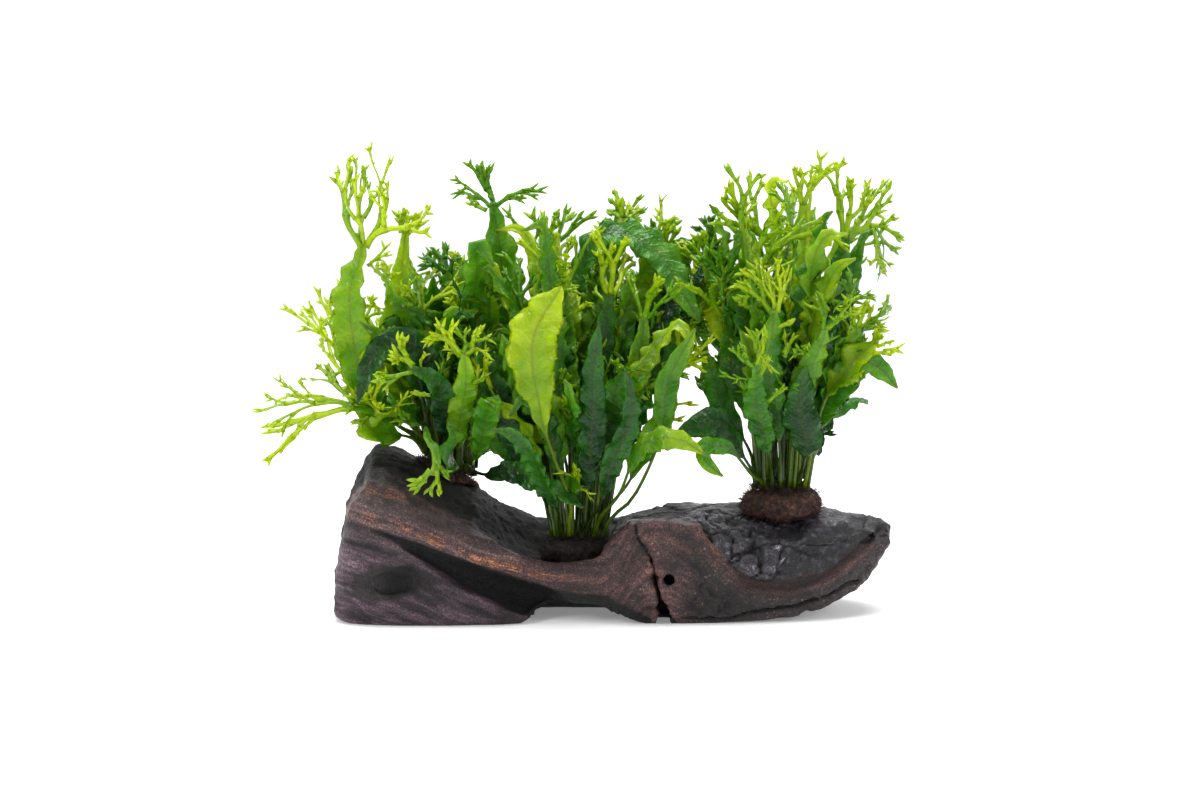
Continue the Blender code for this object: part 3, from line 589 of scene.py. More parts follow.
def young_line(clump, draw, x, lean, root):
    """The points of a small frond's line, and how far up the canopy its tip is. The tip is at x."""
    depth = draw.uniform(-1, 1)
    foot, top = profile(CANOPY_FOOT, x), profile(CANOPY_TOP, x)
    height = draw.random()**0.75
    tip_height = foot + (top - foot) * height
    if clump == "middle" and x > OPEN_FROM and tip_height > OPEN_ABOVE:
        depth = 0.62 + 0.38 * abs(depth)
    tip = np.array([x, root[1] * 0.5 + depth * YOUNG_DEPTH * (1 - 0.5 * lean**2), tip_height])
    slot = float(np.clip(3.2 * lean + draw.uniform(-0.8, 0.8), -3.2, 3.2))
    base = frond_base(clump, int(round(depth)), slot)
    hanging = draw.random() < HANGING_SHARE * (1.4 - height)
    rise = draw.uniform(-0.9, 0.2) if hanging else draw.uniform(0.2, 1.2)
    onward = unit(np.array([0.8 * lean, 0.5 * depth, rise]) + draw.normal(0, 0.25, 3))
    neck = tip - onward * draw.uniform(9, 17)
    neck[2] = min(neck[2], top - 6)
    middle = base + (neck - base) * (0.3, 0.3, 0.62)
    return [base, middle, neck, tip], height


def make_young_fronds(clump, material):
    """The small fronds of a clump, joined: short blades that fill it between the grown ones."""
    draw = np.random.default_rng(SEED * 7 + len(clump))
    build = Build()
    count, left, right = YOUNG_FRONDS[clump]
    root = rhizome_centre(clump)
    for number in range(count):
        x = left + (right - left) * (number + draw.random()) / count
        points, height = young_line(clump, draw, x, (x - root[0]) / (right - left) * 2, root)
        crested = draw.random() < CRESTED_SHARE
        line, run = smooth_line(points)
        end = run[-1 - CURVE_STEPS] / run[-1] if crested else 1.0
        face = unit(facing(draw.uniform(-70, 70), draw.uniform(0.0, 0.9)))
        tone = float(np.clip(draw.normal(0.3, 0.18) + 0.25 * height, 0.03, 0.85))
        width, stalk = draw.uniform(*YOUNG_WIDTHS), draw.uniform(0.3, 0.5)
        blade = Blade(line, run, end, stalk, face, width, tone, 0.9)
        heading, side, out, tip = add_blade(build, draw, blade, crested, 1.6, YOUNG_RING_TOP)
        if crested:
            crest_tone = float(np.clip(tone + draw.uniform(0, 0.35), 0.1, 0.88))
            reach, spread = draw.uniform(11, 22), draw.uniform(12, 26)
            add_crest(build, draw, tip, (heading, side, out), reach, spread, crest_tone, draw.integers(0, 2))
            add_side_tufts(build, draw, blade._replace(stalk=0.35, tone=crest_tone), draw.integers(1, 5))
    piece = build.piece("young_fronds_" + clump, material)
    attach(piece, "root")


# ---------------------------------------------------------------- noise fields
def value_noise(points, size, seed=0):
    """Smooth noise from -1 to 1 over design points, with lumps of the given size."""
    scaled = np.asarray(points, float) / size
    cell = np.floor(scaled).astype(np.int64)
    part = scaled - cell
    part = part * part * (3 - 2 * part)
    total = np.zeros(len(scaled))
    for corner in range(8):
        offset = np.array([corner & 1, corner >> 1 & 1, corner >> 2 & 1])
        key = (cell + offset) @ np.array([374761393, 668265263, 1442695041]) + seed * 974634777
        key = (key ^ (key >> 13)) * 1274126177 & 0xFFFFFFFF
        key = (key ^ (key >> 16)) & 0xFFFF
        weight = np.prod(np.where(offset, part, 1 - part), axis=1)
        total += weight * (key / 32767.5 - 1)
    return total


def layered_noise(points, size, layers=3, seed=0):
    total, strength = np.zeros(len(points)), 1.0
    for layer in range(layers):
        total += strength * value_noise(points, size / 2**layer, seed + layer)
        strength *= 0.5
    return total


def cell_cracks(points, size, seed=0):
    """Distance to the nearest border between scattered cells, in cell sizes, and a value for each cell."""
    scaled = np.asarray(points, float) / size
    cell = np.floor(scaled).astype(np.int64)
    first, second, tag = np.full(len(scaled), 9.0), np.full(len(scaled), 9.0), np.zeros(len(scaled))
    for corner in range(27):
        offset = np.array([corner % 3, corner // 3 % 3, corner // 9]) - 1
        home = cell + offset
        seeds = []
        for axis in range(3):
            key = home @ np.array([73856093, 19349663, 83492791]) + (seed + axis) * 2654435761
            key = (key ^ (key >> 15)) * 2246822519 & 0xFFFFFFFF
            seeds.append(((key ^ (key >> 13)) & 0xFFFF) / 65535)
        place = home + np.stack(seeds, axis=1)
        distance = np.linalg.norm(scaled - place, axis=1)
        nearer = distance < first
        second = np.where(nearer, first, np.minimum(second, distance))
        tag = np.where(nearer, seeds[0], tag)
        first = np.where(nearer, distance, first)
    return second - first, tag


def creases(points, size, layers=3, seed=0):
    """Noise folded into sharp ridges, from 0 to 1."""
    total, strength = np.zeros(len(points)), 1.0
    for layer in range(layers):
        total += strength * (1 - np.abs(value_noise(points, size / 2**layer, seed + layer)) * 1.6)
        strength *= 0.5
    return total / (2 - 0.5**(layers - 1))


def spot(x, z, centre, size, slope=0.0):
    """Distance from the centre of an oval in its own half sizes, for an oval turned by a slope."""
    along_it, over_it = x - centre[0], z - centre[1] - slope * (x - centre[0])
    return np.hypot(along_it / size[0], over_it / size[1])


# ---------------------------------------------------------------- driftwood
# Lines along the wood's front, as (x, z). The red band that the grain runs beside:
BAND_LINE = [(-101.4, 50.1), (-88.8, 46.7), (-71.2, 41.2), (-57.6, 35.3), (-41.9, 29), (-26.3, 24.2),
             (-14.5, 21.4), (0.2, 19.2), (10.9, 19.3), (17.8, 24.8), (23.7, 36.7), (29.5, 42.7), (39.3, 42.2),
             (47.1, 37.7), (55, 31.8), (61.9, 25.3), (69.8, 19.3), (79.6, 15.1), (92.4, 14.6), (104.1, 17.3),
             (116.8, 24.8), (129.4, 33.2), (134.2, 37.7)]
# The edge of the charred slab on the low end, and the step across the slab:
SLAB_LINE = [(45.1, 58.6), (50.1, 44.7), (56, 36.2), (60.9, 29.8), (65.8, 25), (72.7, 20.6), (80.6, 18.2),
             (92.3, 18), (104.1, 21.1), (116.7, 28.8), (128.4, 35.7), (134.2, 40.2)]
STEP_LINE = [(82.5, 20.8), (87.4, 26.3), (92.2, 31.8), (100, 35.7), (112.7, 37.1), (125.4, 42.1),
             (134.1, 44.7)]
# The groove under the band, painted black as its shade, which opens into the hollow under the middle: its
# upper and lower edges.
GROOVE_TOP = [(-86, 41.7), (-80, 40.2), (-66, 35.7), (-54, 30.8), (-41, 26.2), (-24, 20), (-12, 16), (1, 13),
              (14, 11), (25, 7), (32, 3)]
GROOVE_FLOOR = [(-86, 41.3), (-77, 37.2), (-62.5, 27.8), (-45, 16.3), (-28, 7.4), (-19.5, 3.3), (-14, -3)]
UNDERCUT_LINE = [(65, 2.3), (78.7, 5.3), (94.4, 7.3), (106.2, 10.3), (115.9, 15.8)]
FISSURE_LINE = [(40.4, -1.2), (37.3, 4.8), (34.7, 12.8), (33.7, 20.8), (31, 28.8), (27.1, 35.7), (24.6, 39.7)]
FISSURE_HALF_WIDTH, FISSURE_FLARE = 0.35, 2.6  # the crack's half width, and how much wider its foot is
KNOT_CENTRE, KNOT_SIZE, KNOT_SLOPE = (-80.0, 18.8), (15.5, 7.0), 0.12
LUMP_CENTRE, LUMP_SIZE, LUMP_SLOPE = (57, 9), (13, 9), -0.1  # the charred lump under the mound
WORM_HOLE, WORM_HOLE_RADIUS = (38.7, 19.6), 1.9
RIM_DEPTH = -25  # how far to the front the rim of the trough lies
CUT_END = 130.5  # past this the end is a cut facet
CHIPS = [(58.5, 35, 2.6, 5.5, -0.95), (67, 14.2, 5.0, 2.0, -0.45), (-83, 58.5, 8.5, 3.0, -0.25),
         (-72, 62, 4.0, 2.0, -0.5)]  # bare orange chips: (x, z, half length, half width, slope)
WOOD_VOXEL, PLUG_VOXEL, STEM_VOXEL = 0.9, 0.8, 0.45  # how fine each piece's surface is made again
EDGE_ROOM = 1.0  # how far the relief may pass the ends of the wood


def remeshed_copy(node, name, voxel, smoothing):
    """A closed copy of a frame node in even fine faces, smoothed over its facets."""
    mesh = bpy.data.objects[node].data.copy()
    shaper = bmesh.new()
    shaper.from_mesh(mesh)
    bmesh.ops.remove_doubles(shaper, verts=shaper.verts, dist=1e-6)
    shaper.to_mesh(mesh)
    shaper.free()
    copy = new_object(name, mesh)
    remesh = copy.modifiers.new("remesh", "REMESH")
    remesh.mode = "VOXEL"
    remesh.voxel_size = voxel * MM
    soften = copy.modifiers.new("soften", "SMOOTH")
    soften.factor = 0.5
    soften.iterations = smoothing
    take_evaluated(copy)
    copy.data.materials.clear()
    return copy


def take_evaluated(piece):
    """Keeps the mesh that a piece's modifiers make, and drops the modifiers."""
    made = bpy.data.meshes.new_from_object(piece.evaluated_get(bpy.context.evaluated_depsgraph_get()))
    piece.modifiers.clear()
    piece.data = made
    made.shade_smooth()


def wood_masks(points, normals):
    """Where each kind of surface is on the wood, and how far each point is over the grain's line."""
    x, y, z = points.T
    m = SimpleNamespace(x=x, y=y, z=z, front=ease(0.5 - y / 16))
    sway = 2.0 * value_noise(points, 34, 3) + 1.0 * value_noise(points, 14, 4)
    back_shift = (1 - m.front) * (9 * np.sin(x / 31) - 4)
    band_height = profile(BAND_LINE, x)
    m.over_band = z - band_height + 0.8 * sway + back_shift
    m.over_slab = z - profile(SLAB_LINE, x) + 1.2 * value_noise(points, 7, 5)
    m.right = ease((x - 40) / 12)
    m.left = 1 - ease((x + 34) / 26)
    middle = np.clip(1 - m.right - m.left, 0, 1)
    patchy = layered_noise(points, 9, 3, 9)
    granular = np.clip(0.5 + 0.9 * layered_noise(points, 3.2, 2, 22), 0, 1)

    # charred: the slab, the tall end's top, the trough, the low end's foot, a lump and the whole back
    past_mound = ease((x - 10) / 6)
    behind_rim = ease((y - RIM_DEPTH) / 5 + 0.12 * patchy) * past_mound * ease((z - 30) / 4)
    m.slab = np.maximum(m.right * ease(m.over_slab / 1.4 + 0.5), behind_rim)
    m.mound = past_mound * (1 - ease((x - 52) / 12)) * m.front * (1 - m.slab)
    high = m.left * ease((m.over_band - 11 - 4 * patchy) / 8 + 0.5)
    looking_up = ease((normals[:, 2] + normals[:, 1] * -0.4) * 4 + 0.3)
    m.trough = (1 - m.right) * ease((y + 22) / 5) * (z > 15) * looking_up
    low_band = m.right * ease((band_height - 3.6 - z + 0.5 * sway) / 2 + 0.5)
    m.lump = m.front * ease(1.25 - spot(x, z, LUMP_CENTRE, LUMP_SIZE, LUMP_SLOPE) + 0.35 * patchy)
    char = np.maximum.reduce([m.slab, high, 0.97 * m.trough, 0.92 * low_band, m.lump, 0.8 * (1 - m.front)])
    char = np.clip(char, 0, 1) - 0.35 * m.mound * (z > 38)
    m.char = np.clip(np.maximum(char, 0.55 * m.mound * ease(1.4 * granular - 0.2)), 0, 1)

    m.knot = spot(x, z, KNOT_CENTRE, KNOT_SIZE, KNOT_SLOPE) + 0.12 * patchy
    m.knot_on = ease((1.12 - m.knot) / 0.25) * m.front * m.left
    m.pink = m.left * m.front * ease((-m.over_band - 7) / 5) * (1 - m.knot_on)
    m.red = np.clip(m.mound + m.right * (1 - m.slab) * (1 - low_band) + 0.75 * m.front * middle, 0, 1)
    m.cut = ease((x - CUT_END) / 1.5) * m.front * (z > 33)

    # bare orange wood: a worn line along the band, and chips
    warm = between(m.over_band, -1.6, 1.8, 2.4) * (1 - m.char) * (1 - 0.85 * m.mound)
    warm *= ease(1.5 * granular - 0.1)
    warm *= m.front * (0.35 + 0.65 * between(x, -88, -12, 24)) * (1 - 0.45 * m.right)
    for cx, cz, long, wide, slope in CHIPS:
        chip = ease((1.15 - spot(x, z, (cx, cz), (long, wide), slope) + 0.5 * patchy) / 0.5)
        warm = np.maximum(warm, 1.15 * m.front * chip * (0.35 + granular))
    m.warm = np.clip(warm, 0, 1)
    # a painted highlight: a pale line along the trough's rim, laid with the dust
    rim = np.exp(-((y - RIM_DEPTH + patchy) / 1.6)**2)
    rim = (1 - m.right) * m.front * rim * (z > 18) * (z < 52)
    m.dusty = np.maximum(m.left * m.front * between(m.over_band, 3, 15, 6), rim) * ease(1.6 * granular - 0.15)

    # painted shade, black: the groove, the fissure, the undercut and the worm hole
    ragged = 1.6 * patchy * ease((x + 20) / 20)
    m.groove = m.front * (x < 32) * ease((profile(GROOVE_TOP, x) - z + ragged) / 1.6 + 0.5)
    m.groove = m.groove * ease((z - profile(GROOVE_FLOOR, x)) / 2.4 + 0.5) * ease((x + 90) / 5)
    fissure_x = profile([(height, place) for place, height in FISSURE_LINE], z)
    m.fissure_gap = np.abs(x - (fissure_x + 0.9 * value_noise(points, 4, 71)))
    fissure_half = FISSURE_HALF_WIDTH + FISSURE_FLARE * ease((17 - z) / 17)
    m.fissure = m.front * (z < 42) * (1 - ease((m.fissure_gap - fissure_half) / 0.9 + 0.5))
    under_gap = np.abs(z - profile(UNDERCUT_LINE, x) + 0.5 * patchy)
    m.undercut = m.right * m.front * (1 - ease(under_gap / 0.85)) * (x < 121)
    from_hole = np.hypot(x - WORM_HOLE[0], z - WORM_HOLE[1])
    m.hole = m.front * (1 - ease((from_hole - WORM_HOLE_RADIUS) / 0.7))
    return m


def wood_relief(points, m):
    """How far each point stands out of the wood, in millimetres, and how deep in a crack it is."""
    x, y, z = m.x, m.y, m.z
    grain = np.stack([x / 13, m.over_band, y / 8], axis=1)
    bare = 1 - m.char
    relief = 0.42 * bare * layered_noise(grain, 2.2, 3, 31) + 0.75 * bare * value_noise(grain, 6.0, 33)
    relief += 0.5 * layered_noise(points, 15, 2, 35)
    rough = np.clip(m.char + 0.8 * m.mound + 0.6 * m.dusty, 0, 1) * (1 - m.slab)
    relief += rough * (0.5 * layered_noise(points, 2.4, 2, 41) + 0.8 * layered_noise(points, 6.5, 2, 43))

    # the slab: long folds on its top, broken lumps at its near corner, and a step across its front
    folds = creases(np.stack([x / 2.1 + 0.25 * z, y / 1.3, z * 1.2], axis=1), 9, 3, 51)
    warped = points + 1.6 * np.stack([value_noise(points, 4, 52 + axis) for axis in range(3)], axis=1)
    border, tag = cell_cracks(warped, 9.5, 55)
    wide_border, wide_tag = cell_cracks(warped * (0.45, 0.7, 1.0), 13, 58)
    broken = m.slab * ease((88 - x + 0.3 * z) / 14) * ease((x - 50) / 4) * m.front * ease((50 - z) / 6)
    calm = m.slab * (1 - broken)
    crack = 1 - ease(border / 0.10)
    wide_crack = (1 - ease(wide_border / 0.07)) * ease(wide_tag * 1.6 - 0.3)
    relief += broken * (1.1 * (tag - 0.5) - 1.9 * crack + 1.0 * layered_noise(points, 3.6, 3, 61))
    relief += calm * (1.9 * (folds - 0.55) + 0.8 * (wide_tag - 0.5) - 1.3 * wide_crack
                      + 0.28 * layered_noise(points, 2.2, 2, 63))
    over_step = z - profile(STEP_LINE, x) + 0.5 * value_noise(points, 5, 64)
    step = 0.9 * np.exp(-((over_step - 0.9) / 1.3)**2) - 2.4 * between(over_step, -30, -0.2, 1.6)
    relief += m.slab * m.front * ease((x - 82) / 5) * step
    relief -= 2.6 * m.right * m.front * between(m.over_slab, -4.5, -0.2, 1.6) * ease((x - 66) / 8)
    relief += m.lump * (1.6 * (tag - 0.5) - 0.9 * crack)

    # the band stands proud, the hollows are sunk, and the grain flows round the mound and rings the knot
    relief += 1.1 * m.left * m.front * between(m.over_band, -3.2, 5, 3.0)
    relief -= 2.2 * m.groove * (1 - 0.8 * ease((x + 16) / 14))
    relief -= 2.4 * m.fissure + 3.0 * m.undercut + 1.5 * m.hole
    relief += 1.3 * m.front * ease(1 - m.fissure_gap / 9) * (1 - m.fissure) * ease((30 - z) / 10)
    flow = np.sin(0.95 * m.over_band + 3.0 * value_noise(points, 12, 66))
    relief += 0.26 * flow * np.clip(m.mound + m.right * bare, 0, 1) * m.front
    rings = np.cos(m.knot * 8) * np.exp(-m.knot**2 * 0.55)
    relief += m.left * m.front * 0.7 * rings * (1 - m.groove)
    relief -= 1.5 * m.knot_on + 1.2 * m.knot_on * ease((x + 76) / 6)
    cracks = np.maximum.reduce([broken * crack, 0.75 * calm * wide_crack, 0.8 * m.lump * crack,
                                calm * ease((0.42 - folds) * 5) * 0.55])
    return relief * ease((z - 0.6) / 2.5), cracks


def wood_paint(m, relief, cracks):
    """The painted masks of the wood: how charred, red, pink, orange, sooty or darkened by painted shade, and
    dusty or lit by a painted highlight on the trough's rim each point is, and how raised, for painted shade
    in its hollows and painted highlight on its ridges.
    """
    x, z = m.x, m.z
    foot_end = 0.75 * m.pink * ease((x + 46) / 16)
    dark_end = m.knot_on * ease((x + 84) / 6)
    grain = np.stack([x / 5, m.over_band, m.y / 5], axis=1)
    streaks = m.pink * ease(1.5 * layered_noise(grain, 2.6, 2, 73))
    # painted shade: the hollow under the bridge, behind the front, is painted dark
    under = (m.y < 18) * ease((11.5 - z) / 4) * ease((x + 24) / 5) * (1 - ease((x - 20) / 6))
    sole = ease((0.5 - z) / 0.6)
    # soot and painted shade: the groove, fissure, cracks, undercut, worm hole and the hollow under the bridge
    # are painted near black as their shade; the trough, pink streaks, lump, knot's end, foot end and sole are
    # darkened too
    soot_and_painted_shade = np.maximum.reduce([m.groove, 0.95 * m.fissure, cracks, 0.95 * m.undercut, m.hole, 0.95 * dark_end,
                              foot_end, under, 0.92 * m.trough, 0.8 * streaks, 0.55 * m.lump, 0.5 * sole])
    return {"char": np.maximum(m.char, 0.85 * m.knot_on) * (1 - 0.9 * m.cut), "red": m.red,
            "pink": np.maximum(m.pink, m.cut), "warm": m.warm, "soot_and_painted_shade": np.clip(soot_and_painted_shade, 0, 1), "dusty": m.dusty,
            "slab": m.slab, "raised": np.clip(0.5 + relief / 2.6, 0, 1)}


def make_driftwood(material):
    wood = remeshed_copy("driftwood", "driftwood_block", WOOD_VOXEL, 5)
    points, normals = surface_of(wood.data)
    masks = wood_masks(points, normals)
    relief, cracks = wood_relief(points, masks)
    grain = np.stack([masks.x, masks.over_band], axis=1)
    points = points + normals * relief[:, None]
    points[:, 2] = np.maximum(points[:, 2], 0.0)
    points[:, 0] = np.clip(points[:, 0], WOOD_LEFT - EDGE_ROOM, WOOD_RIGHT + EDGE_ROOM)
    write_points(wood.data, points)
    write_attributes(wood.data, wood_paint(masks, relief, cracks), grain)
    wood.data.materials.append(material)
    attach(wood, "root")
    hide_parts("driftwood")


# ---------------------------------------------------------------- nodes
def add_node(tree, kind, inputs, **settings):
    """A node with its settings made, and each input either joined to a socket or given its value."""
    node = tree.nodes.new(kind)
    for key, value in settings.items():
        setattr(node, key, value)
    for key, value in inputs.items():
        if isinstance(value, bpy.types.NodeSocket):
            tree.links.new(value, node.inputs[key])
        else:
            node.inputs[key].default_value = value
    return node


def maths(tree, operation, first, second=0.0):
    return add_node(tree, "ShaderNodeMath", {0: first, 1: second}, operation=operation).outputs[0]


def times(tree, first, second):
    return maths(tree, "MULTIPLY", first, second)


def total(tree, start, *terms):
    """The start and the sum of all terms, each a socket and its weight."""
    for socket, weight in terms:
        start = maths(tree, "ADD", start, times(tree, socket, weight))
    return start


# ---------------------------------------------------------------- geometry nodes: shapes over a surface
SCATTER_INPUTS = {"Surface": "Geometry", "Shapes": "Collection", "Density": "Float", "Seed": "Int",
                  "Smallest": "Float", "Largest": "Float", "Tilt": "Float", "Material": "Material"}


def scatter_tree():
    """Scatters a collection's shapes over a surface, stood on it and tilted at random, and joins them."""
    tree = bpy.data.node_groups.new("scatter_over_surface", "GeometryNodeTree")
    for name, kind in SCATTER_INPUTS.items():
        tree.interface.new_socket(name, in_out="INPUT", socket_type="NodeSocket" + kind)
    tree.interface.new_socket("Geometry", in_out="OUTPUT", socket_type="NodeSocketGeometry")
    given = tree.nodes.new("NodeGroupInput").outputs
    seed = given["Seed"]

    spots = add_node(tree, "GeometryNodeDistributePointsOnFaces",
                     {"Mesh": given["Surface"], "Density": given["Density"], "Seed": seed}).outputs
    ahead, back = given["Tilt"], times(tree, given["Tilt"], -1.0)
    lowest = add_node(tree, "ShaderNodeCombineXYZ", {"X": back, "Y": back, "Z": -math.pi}).outputs[0]
    highest = add_node(tree, "ShaderNodeCombineXYZ", {"X": ahead, "Y": ahead, "Z": math.pi}).outputs[0]
    tilt = add_node(tree, "FunctionNodeRandomValue", {0: lowest, 1: highest, "Seed": seed},
                    data_type="FLOAT_VECTOR").outputs[0]
    size = add_node(tree, "FunctionNodeRandomValue",
                    {2: given["Smallest"], 3: given["Largest"], "Seed": seed}, data_type="FLOAT").outputs[1]
    turned = add_node(tree, "FunctionNodeRotateRotation", {"Rotation": spots["Rotation"], "Rotate By": tilt},
                      rotation_space="LOCAL").outputs[0]
    shapes = add_node(tree, "GeometryNodeCollectionInfo", {
        "Collection": given["Shapes"], "Separate Children": True, "Reset Children": True}).outputs[0]
    placed = add_node(tree, "GeometryNodeInstanceOnPoints", {
        "Points": spots["Points"], "Instance": shapes, "Pick Instance": True, "Rotation": turned,
        "Scale": size}).outputs[0]
    real = add_node(tree, "GeometryNodeRealizeInstances", {"Geometry": placed}).outputs[0]
    joined = add_node(tree, "GeometryNodeJoinGeometry", {0: real})
    tree.links.new(given["Surface"], joined.inputs[0])
    clothed = add_node(tree, "GeometryNodeSetMaterial",
                       {"Geometry": joined.outputs[0], "Material": given["Material"]}).outputs[0]
    add_node(tree, "NodeGroupOutput", {"Geometry": clothed})
    return tree


def scatter_over(piece, tree, **given):
    """Runs the scatter on a piece and keeps the mesh that it makes."""
    modifier = piece.modifiers.new("scatter", "NODES")
    modifier.node_group = tree
    inputs = [socket for socket in tree.interface.items_tree if socket.in_out == "INPUT"]
    keys = {socket.name: socket.identifier for socket in inputs}
    for name, value in given.items():
        modifier[keys[name]] = value
    take_evaluated(piece)


def add_fibre(owner, name, draw, length, radius, wander, steps=7, corners=4):
    """A wandering fibre that starts just inside the surface and thins to its tip, in metres at the origin."""
    heading = unit(np.array([draw.normal(0, 0.5), draw.normal(0, 0.5), 1.0]))
    centres = [np.array([0.0, 0.0, -0.6])]
    for _ in range(steps):
        heading = unit(heading + draw.normal(0, wander, 3))
        centres.append(centres[-1] + heading * length / steps)
    centres = np.array(centres)
    _, side, out = frames_along(centres, np.array([0.31, -0.95, 0.05]))
    turns = (np.arange(corners) * 2 * math.pi / corners)[:, None]
    sizes = radius * np.linspace(1.0, 0.35, steps + 1)[:, None, None]
    rings = centres[:, None, :] + sizes * (side[:, None, :] * np.cos(turns) + out[:, None, :] * np.sin(turns))
    mesh = bpy.data.meshes.new(name)
    mesh.from_pydata((rings.reshape(-1, 3) * MM).tolist(), [], ring_faces(steps + 1, corners))
    new_object(name, mesh, owner)


# ---------------------------------------------------------------- plugs and rhizomes
# What grows out of a surface: how many shapes, their lengths, thickness and wander, how densely they
# stand on a square metre, how much the largest is enlarged, and how far they tilt.
Fibres = namedtuple("Fibres", "kinds lengths radius wander density largest tilt")
COIR_FIBRES = Fibres(9, (2.5, 5.5), 0.17, 0.42, 650000.0, 1.15, 1.25)
HAIR_ROOTS = Fibres(6, (3, 8), 0.2, 0.35, 500000.0, 1.1, 1.1)


def grow_fibres(piece, fibres, draw, tree, seed, material):
    owner = bpy.data.collections.new("fibres")
    for number in range(fibres.kinds):
        add_fibre(owner, f"fibre_{number}", draw, draw.uniform(*fibres.lengths), fibres.radius, fibres.wander)
    scatter_over(piece, tree, Shapes=owner, Density=fibres.density, Seed=seed, Smallest=0.5,
                 Largest=fibres.largest, Tilt=fibres.tilt, Material=material)
    for shape in list(owner.objects):
        bpy.data.objects.remove(shape)
    bpy.data.collections.remove(owner)
    piece.data.materials.clear()
    piece.data.materials.append(material)


def make_plug(clump, index, tree, material):
    """A plug of coir: a lumpy mat with loose fibres all over it."""
    plug = remeshed_copy("plug_" + clump, "coir_plug_" + clump, PLUG_VOXEL, 6)
    points, normals = surface_of(plug.data)
    lumps = 1.0 * value_noise(points, 5.0, 81 + index) + 0.7 * layered_noise(points, 2.2, 2, 85 + index)
    write_points(plug.data, points + normals * (lumps - 0.3)[:, None])
    grow_fibres(plug, COIR_FIBRES, np.random.default_rng(SEED + 300 + index), tree, index + 3, material)
    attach(plug, "root")
    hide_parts("plug_" + clump)


def make_rhizome(clump, index, tree, material):
    """A creeping stem, knobbly and set with hair roots."""
    stem = remeshed_copy("rhizome_" + clump, "creeping_stem_" + clump, STEM_VOXEL, 4)
    points, normals = surface_of(stem.data)
    knobs = 0.55 * value_noise(points, 2.6, 91 + index) + 0.25 * value_noise(points, 1.2, 95 + index)
    write_points(stem.data, points + normals * knobs[:, None])
    grow_fibres(stem, HAIR_ROOTS, np.random.default_rng(SEED + 400 + index), tree, index + 13, material)
    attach(stem, "root")
    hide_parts("rhizome_" + clump)


# ---------------------------------------------------------------- materials
def colour(code):
    """A linear colour from its six-digit screen code."""
    parts = [int(code[i:i + 2], 16) / 255 for i in (0, 2, 4)]
    return (*[p / 12.92 if p <= 0.04045 else ((p + 0.055) / 1.055)**2.4 for p in parts], 1.0)


def blend(tree, share, first, second, mode="MIX"):
    """One colour laid over another by a share."""
    return add_node(tree, "ShaderNodeMix", {0: share, 6: first, 7: second}, data_type="RGBA",
                    blend_type=mode).outputs[2]


def ramp(tree, value, *stops):
    """A colour or a grey for each value, from stops of (value, six-digit code or grey)."""
    node = add_node(tree, "ShaderNodeValToRGB", {0: value})
    elements = node.color_ramp.elements
    while len(elements) < len(stops):
        elements.new(0.5)
    for element, (place, shade) in zip(elements, stops):
        element.position = place
        element.color = colour(shade) if isinstance(shade, str) else (shade, shade, shade, 1.0)
    return node.outputs[0]


def mask(tree, name):
    return add_node(tree, "ShaderNodeAttribute", {}, attribute_name=name).outputs["Fac"]


def noise(tree, vector, size, detail=3.0, roughness=0.55):
    """Noise with features of a size in millimetres, read in the object's own metres."""
    return add_node(tree, "ShaderNodeTexNoise", {"Vector": vector, "Scale": 1 / (size * MM), "Detail": detail,
                                                 "Roughness": roughness}).outputs[0]


def object_place(tree):
    return tree.nodes.new("ShaderNodeTexCoord").outputs["Object"]


def surface_map(tree):
    return add_node(tree, "ShaderNodeUVMap", {}, uv_map="UVMap").outputs[0]


def new_group(name, inputs, outputs):
    """A shader group with plain number inputs, and outputs named with their kind of socket."""
    tree = bpy.data.node_groups.new(name, "ShaderNodeTree")
    for key in inputs:
        tree.interface.new_socket(key, in_out="INPUT", socket_type="NodeSocketFloat")
    for key, kind in outputs.items():
        tree.interface.new_socket(key, in_out="OUTPUT", socket_type="NodeSocket" + kind)
    return tree, tree.nodes.new("NodeGroupInput").outputs


def use_group(tree, group, **inputs):
    return add_node(tree, "ShaderNodeGroup", inputs, node_tree=group).outputs


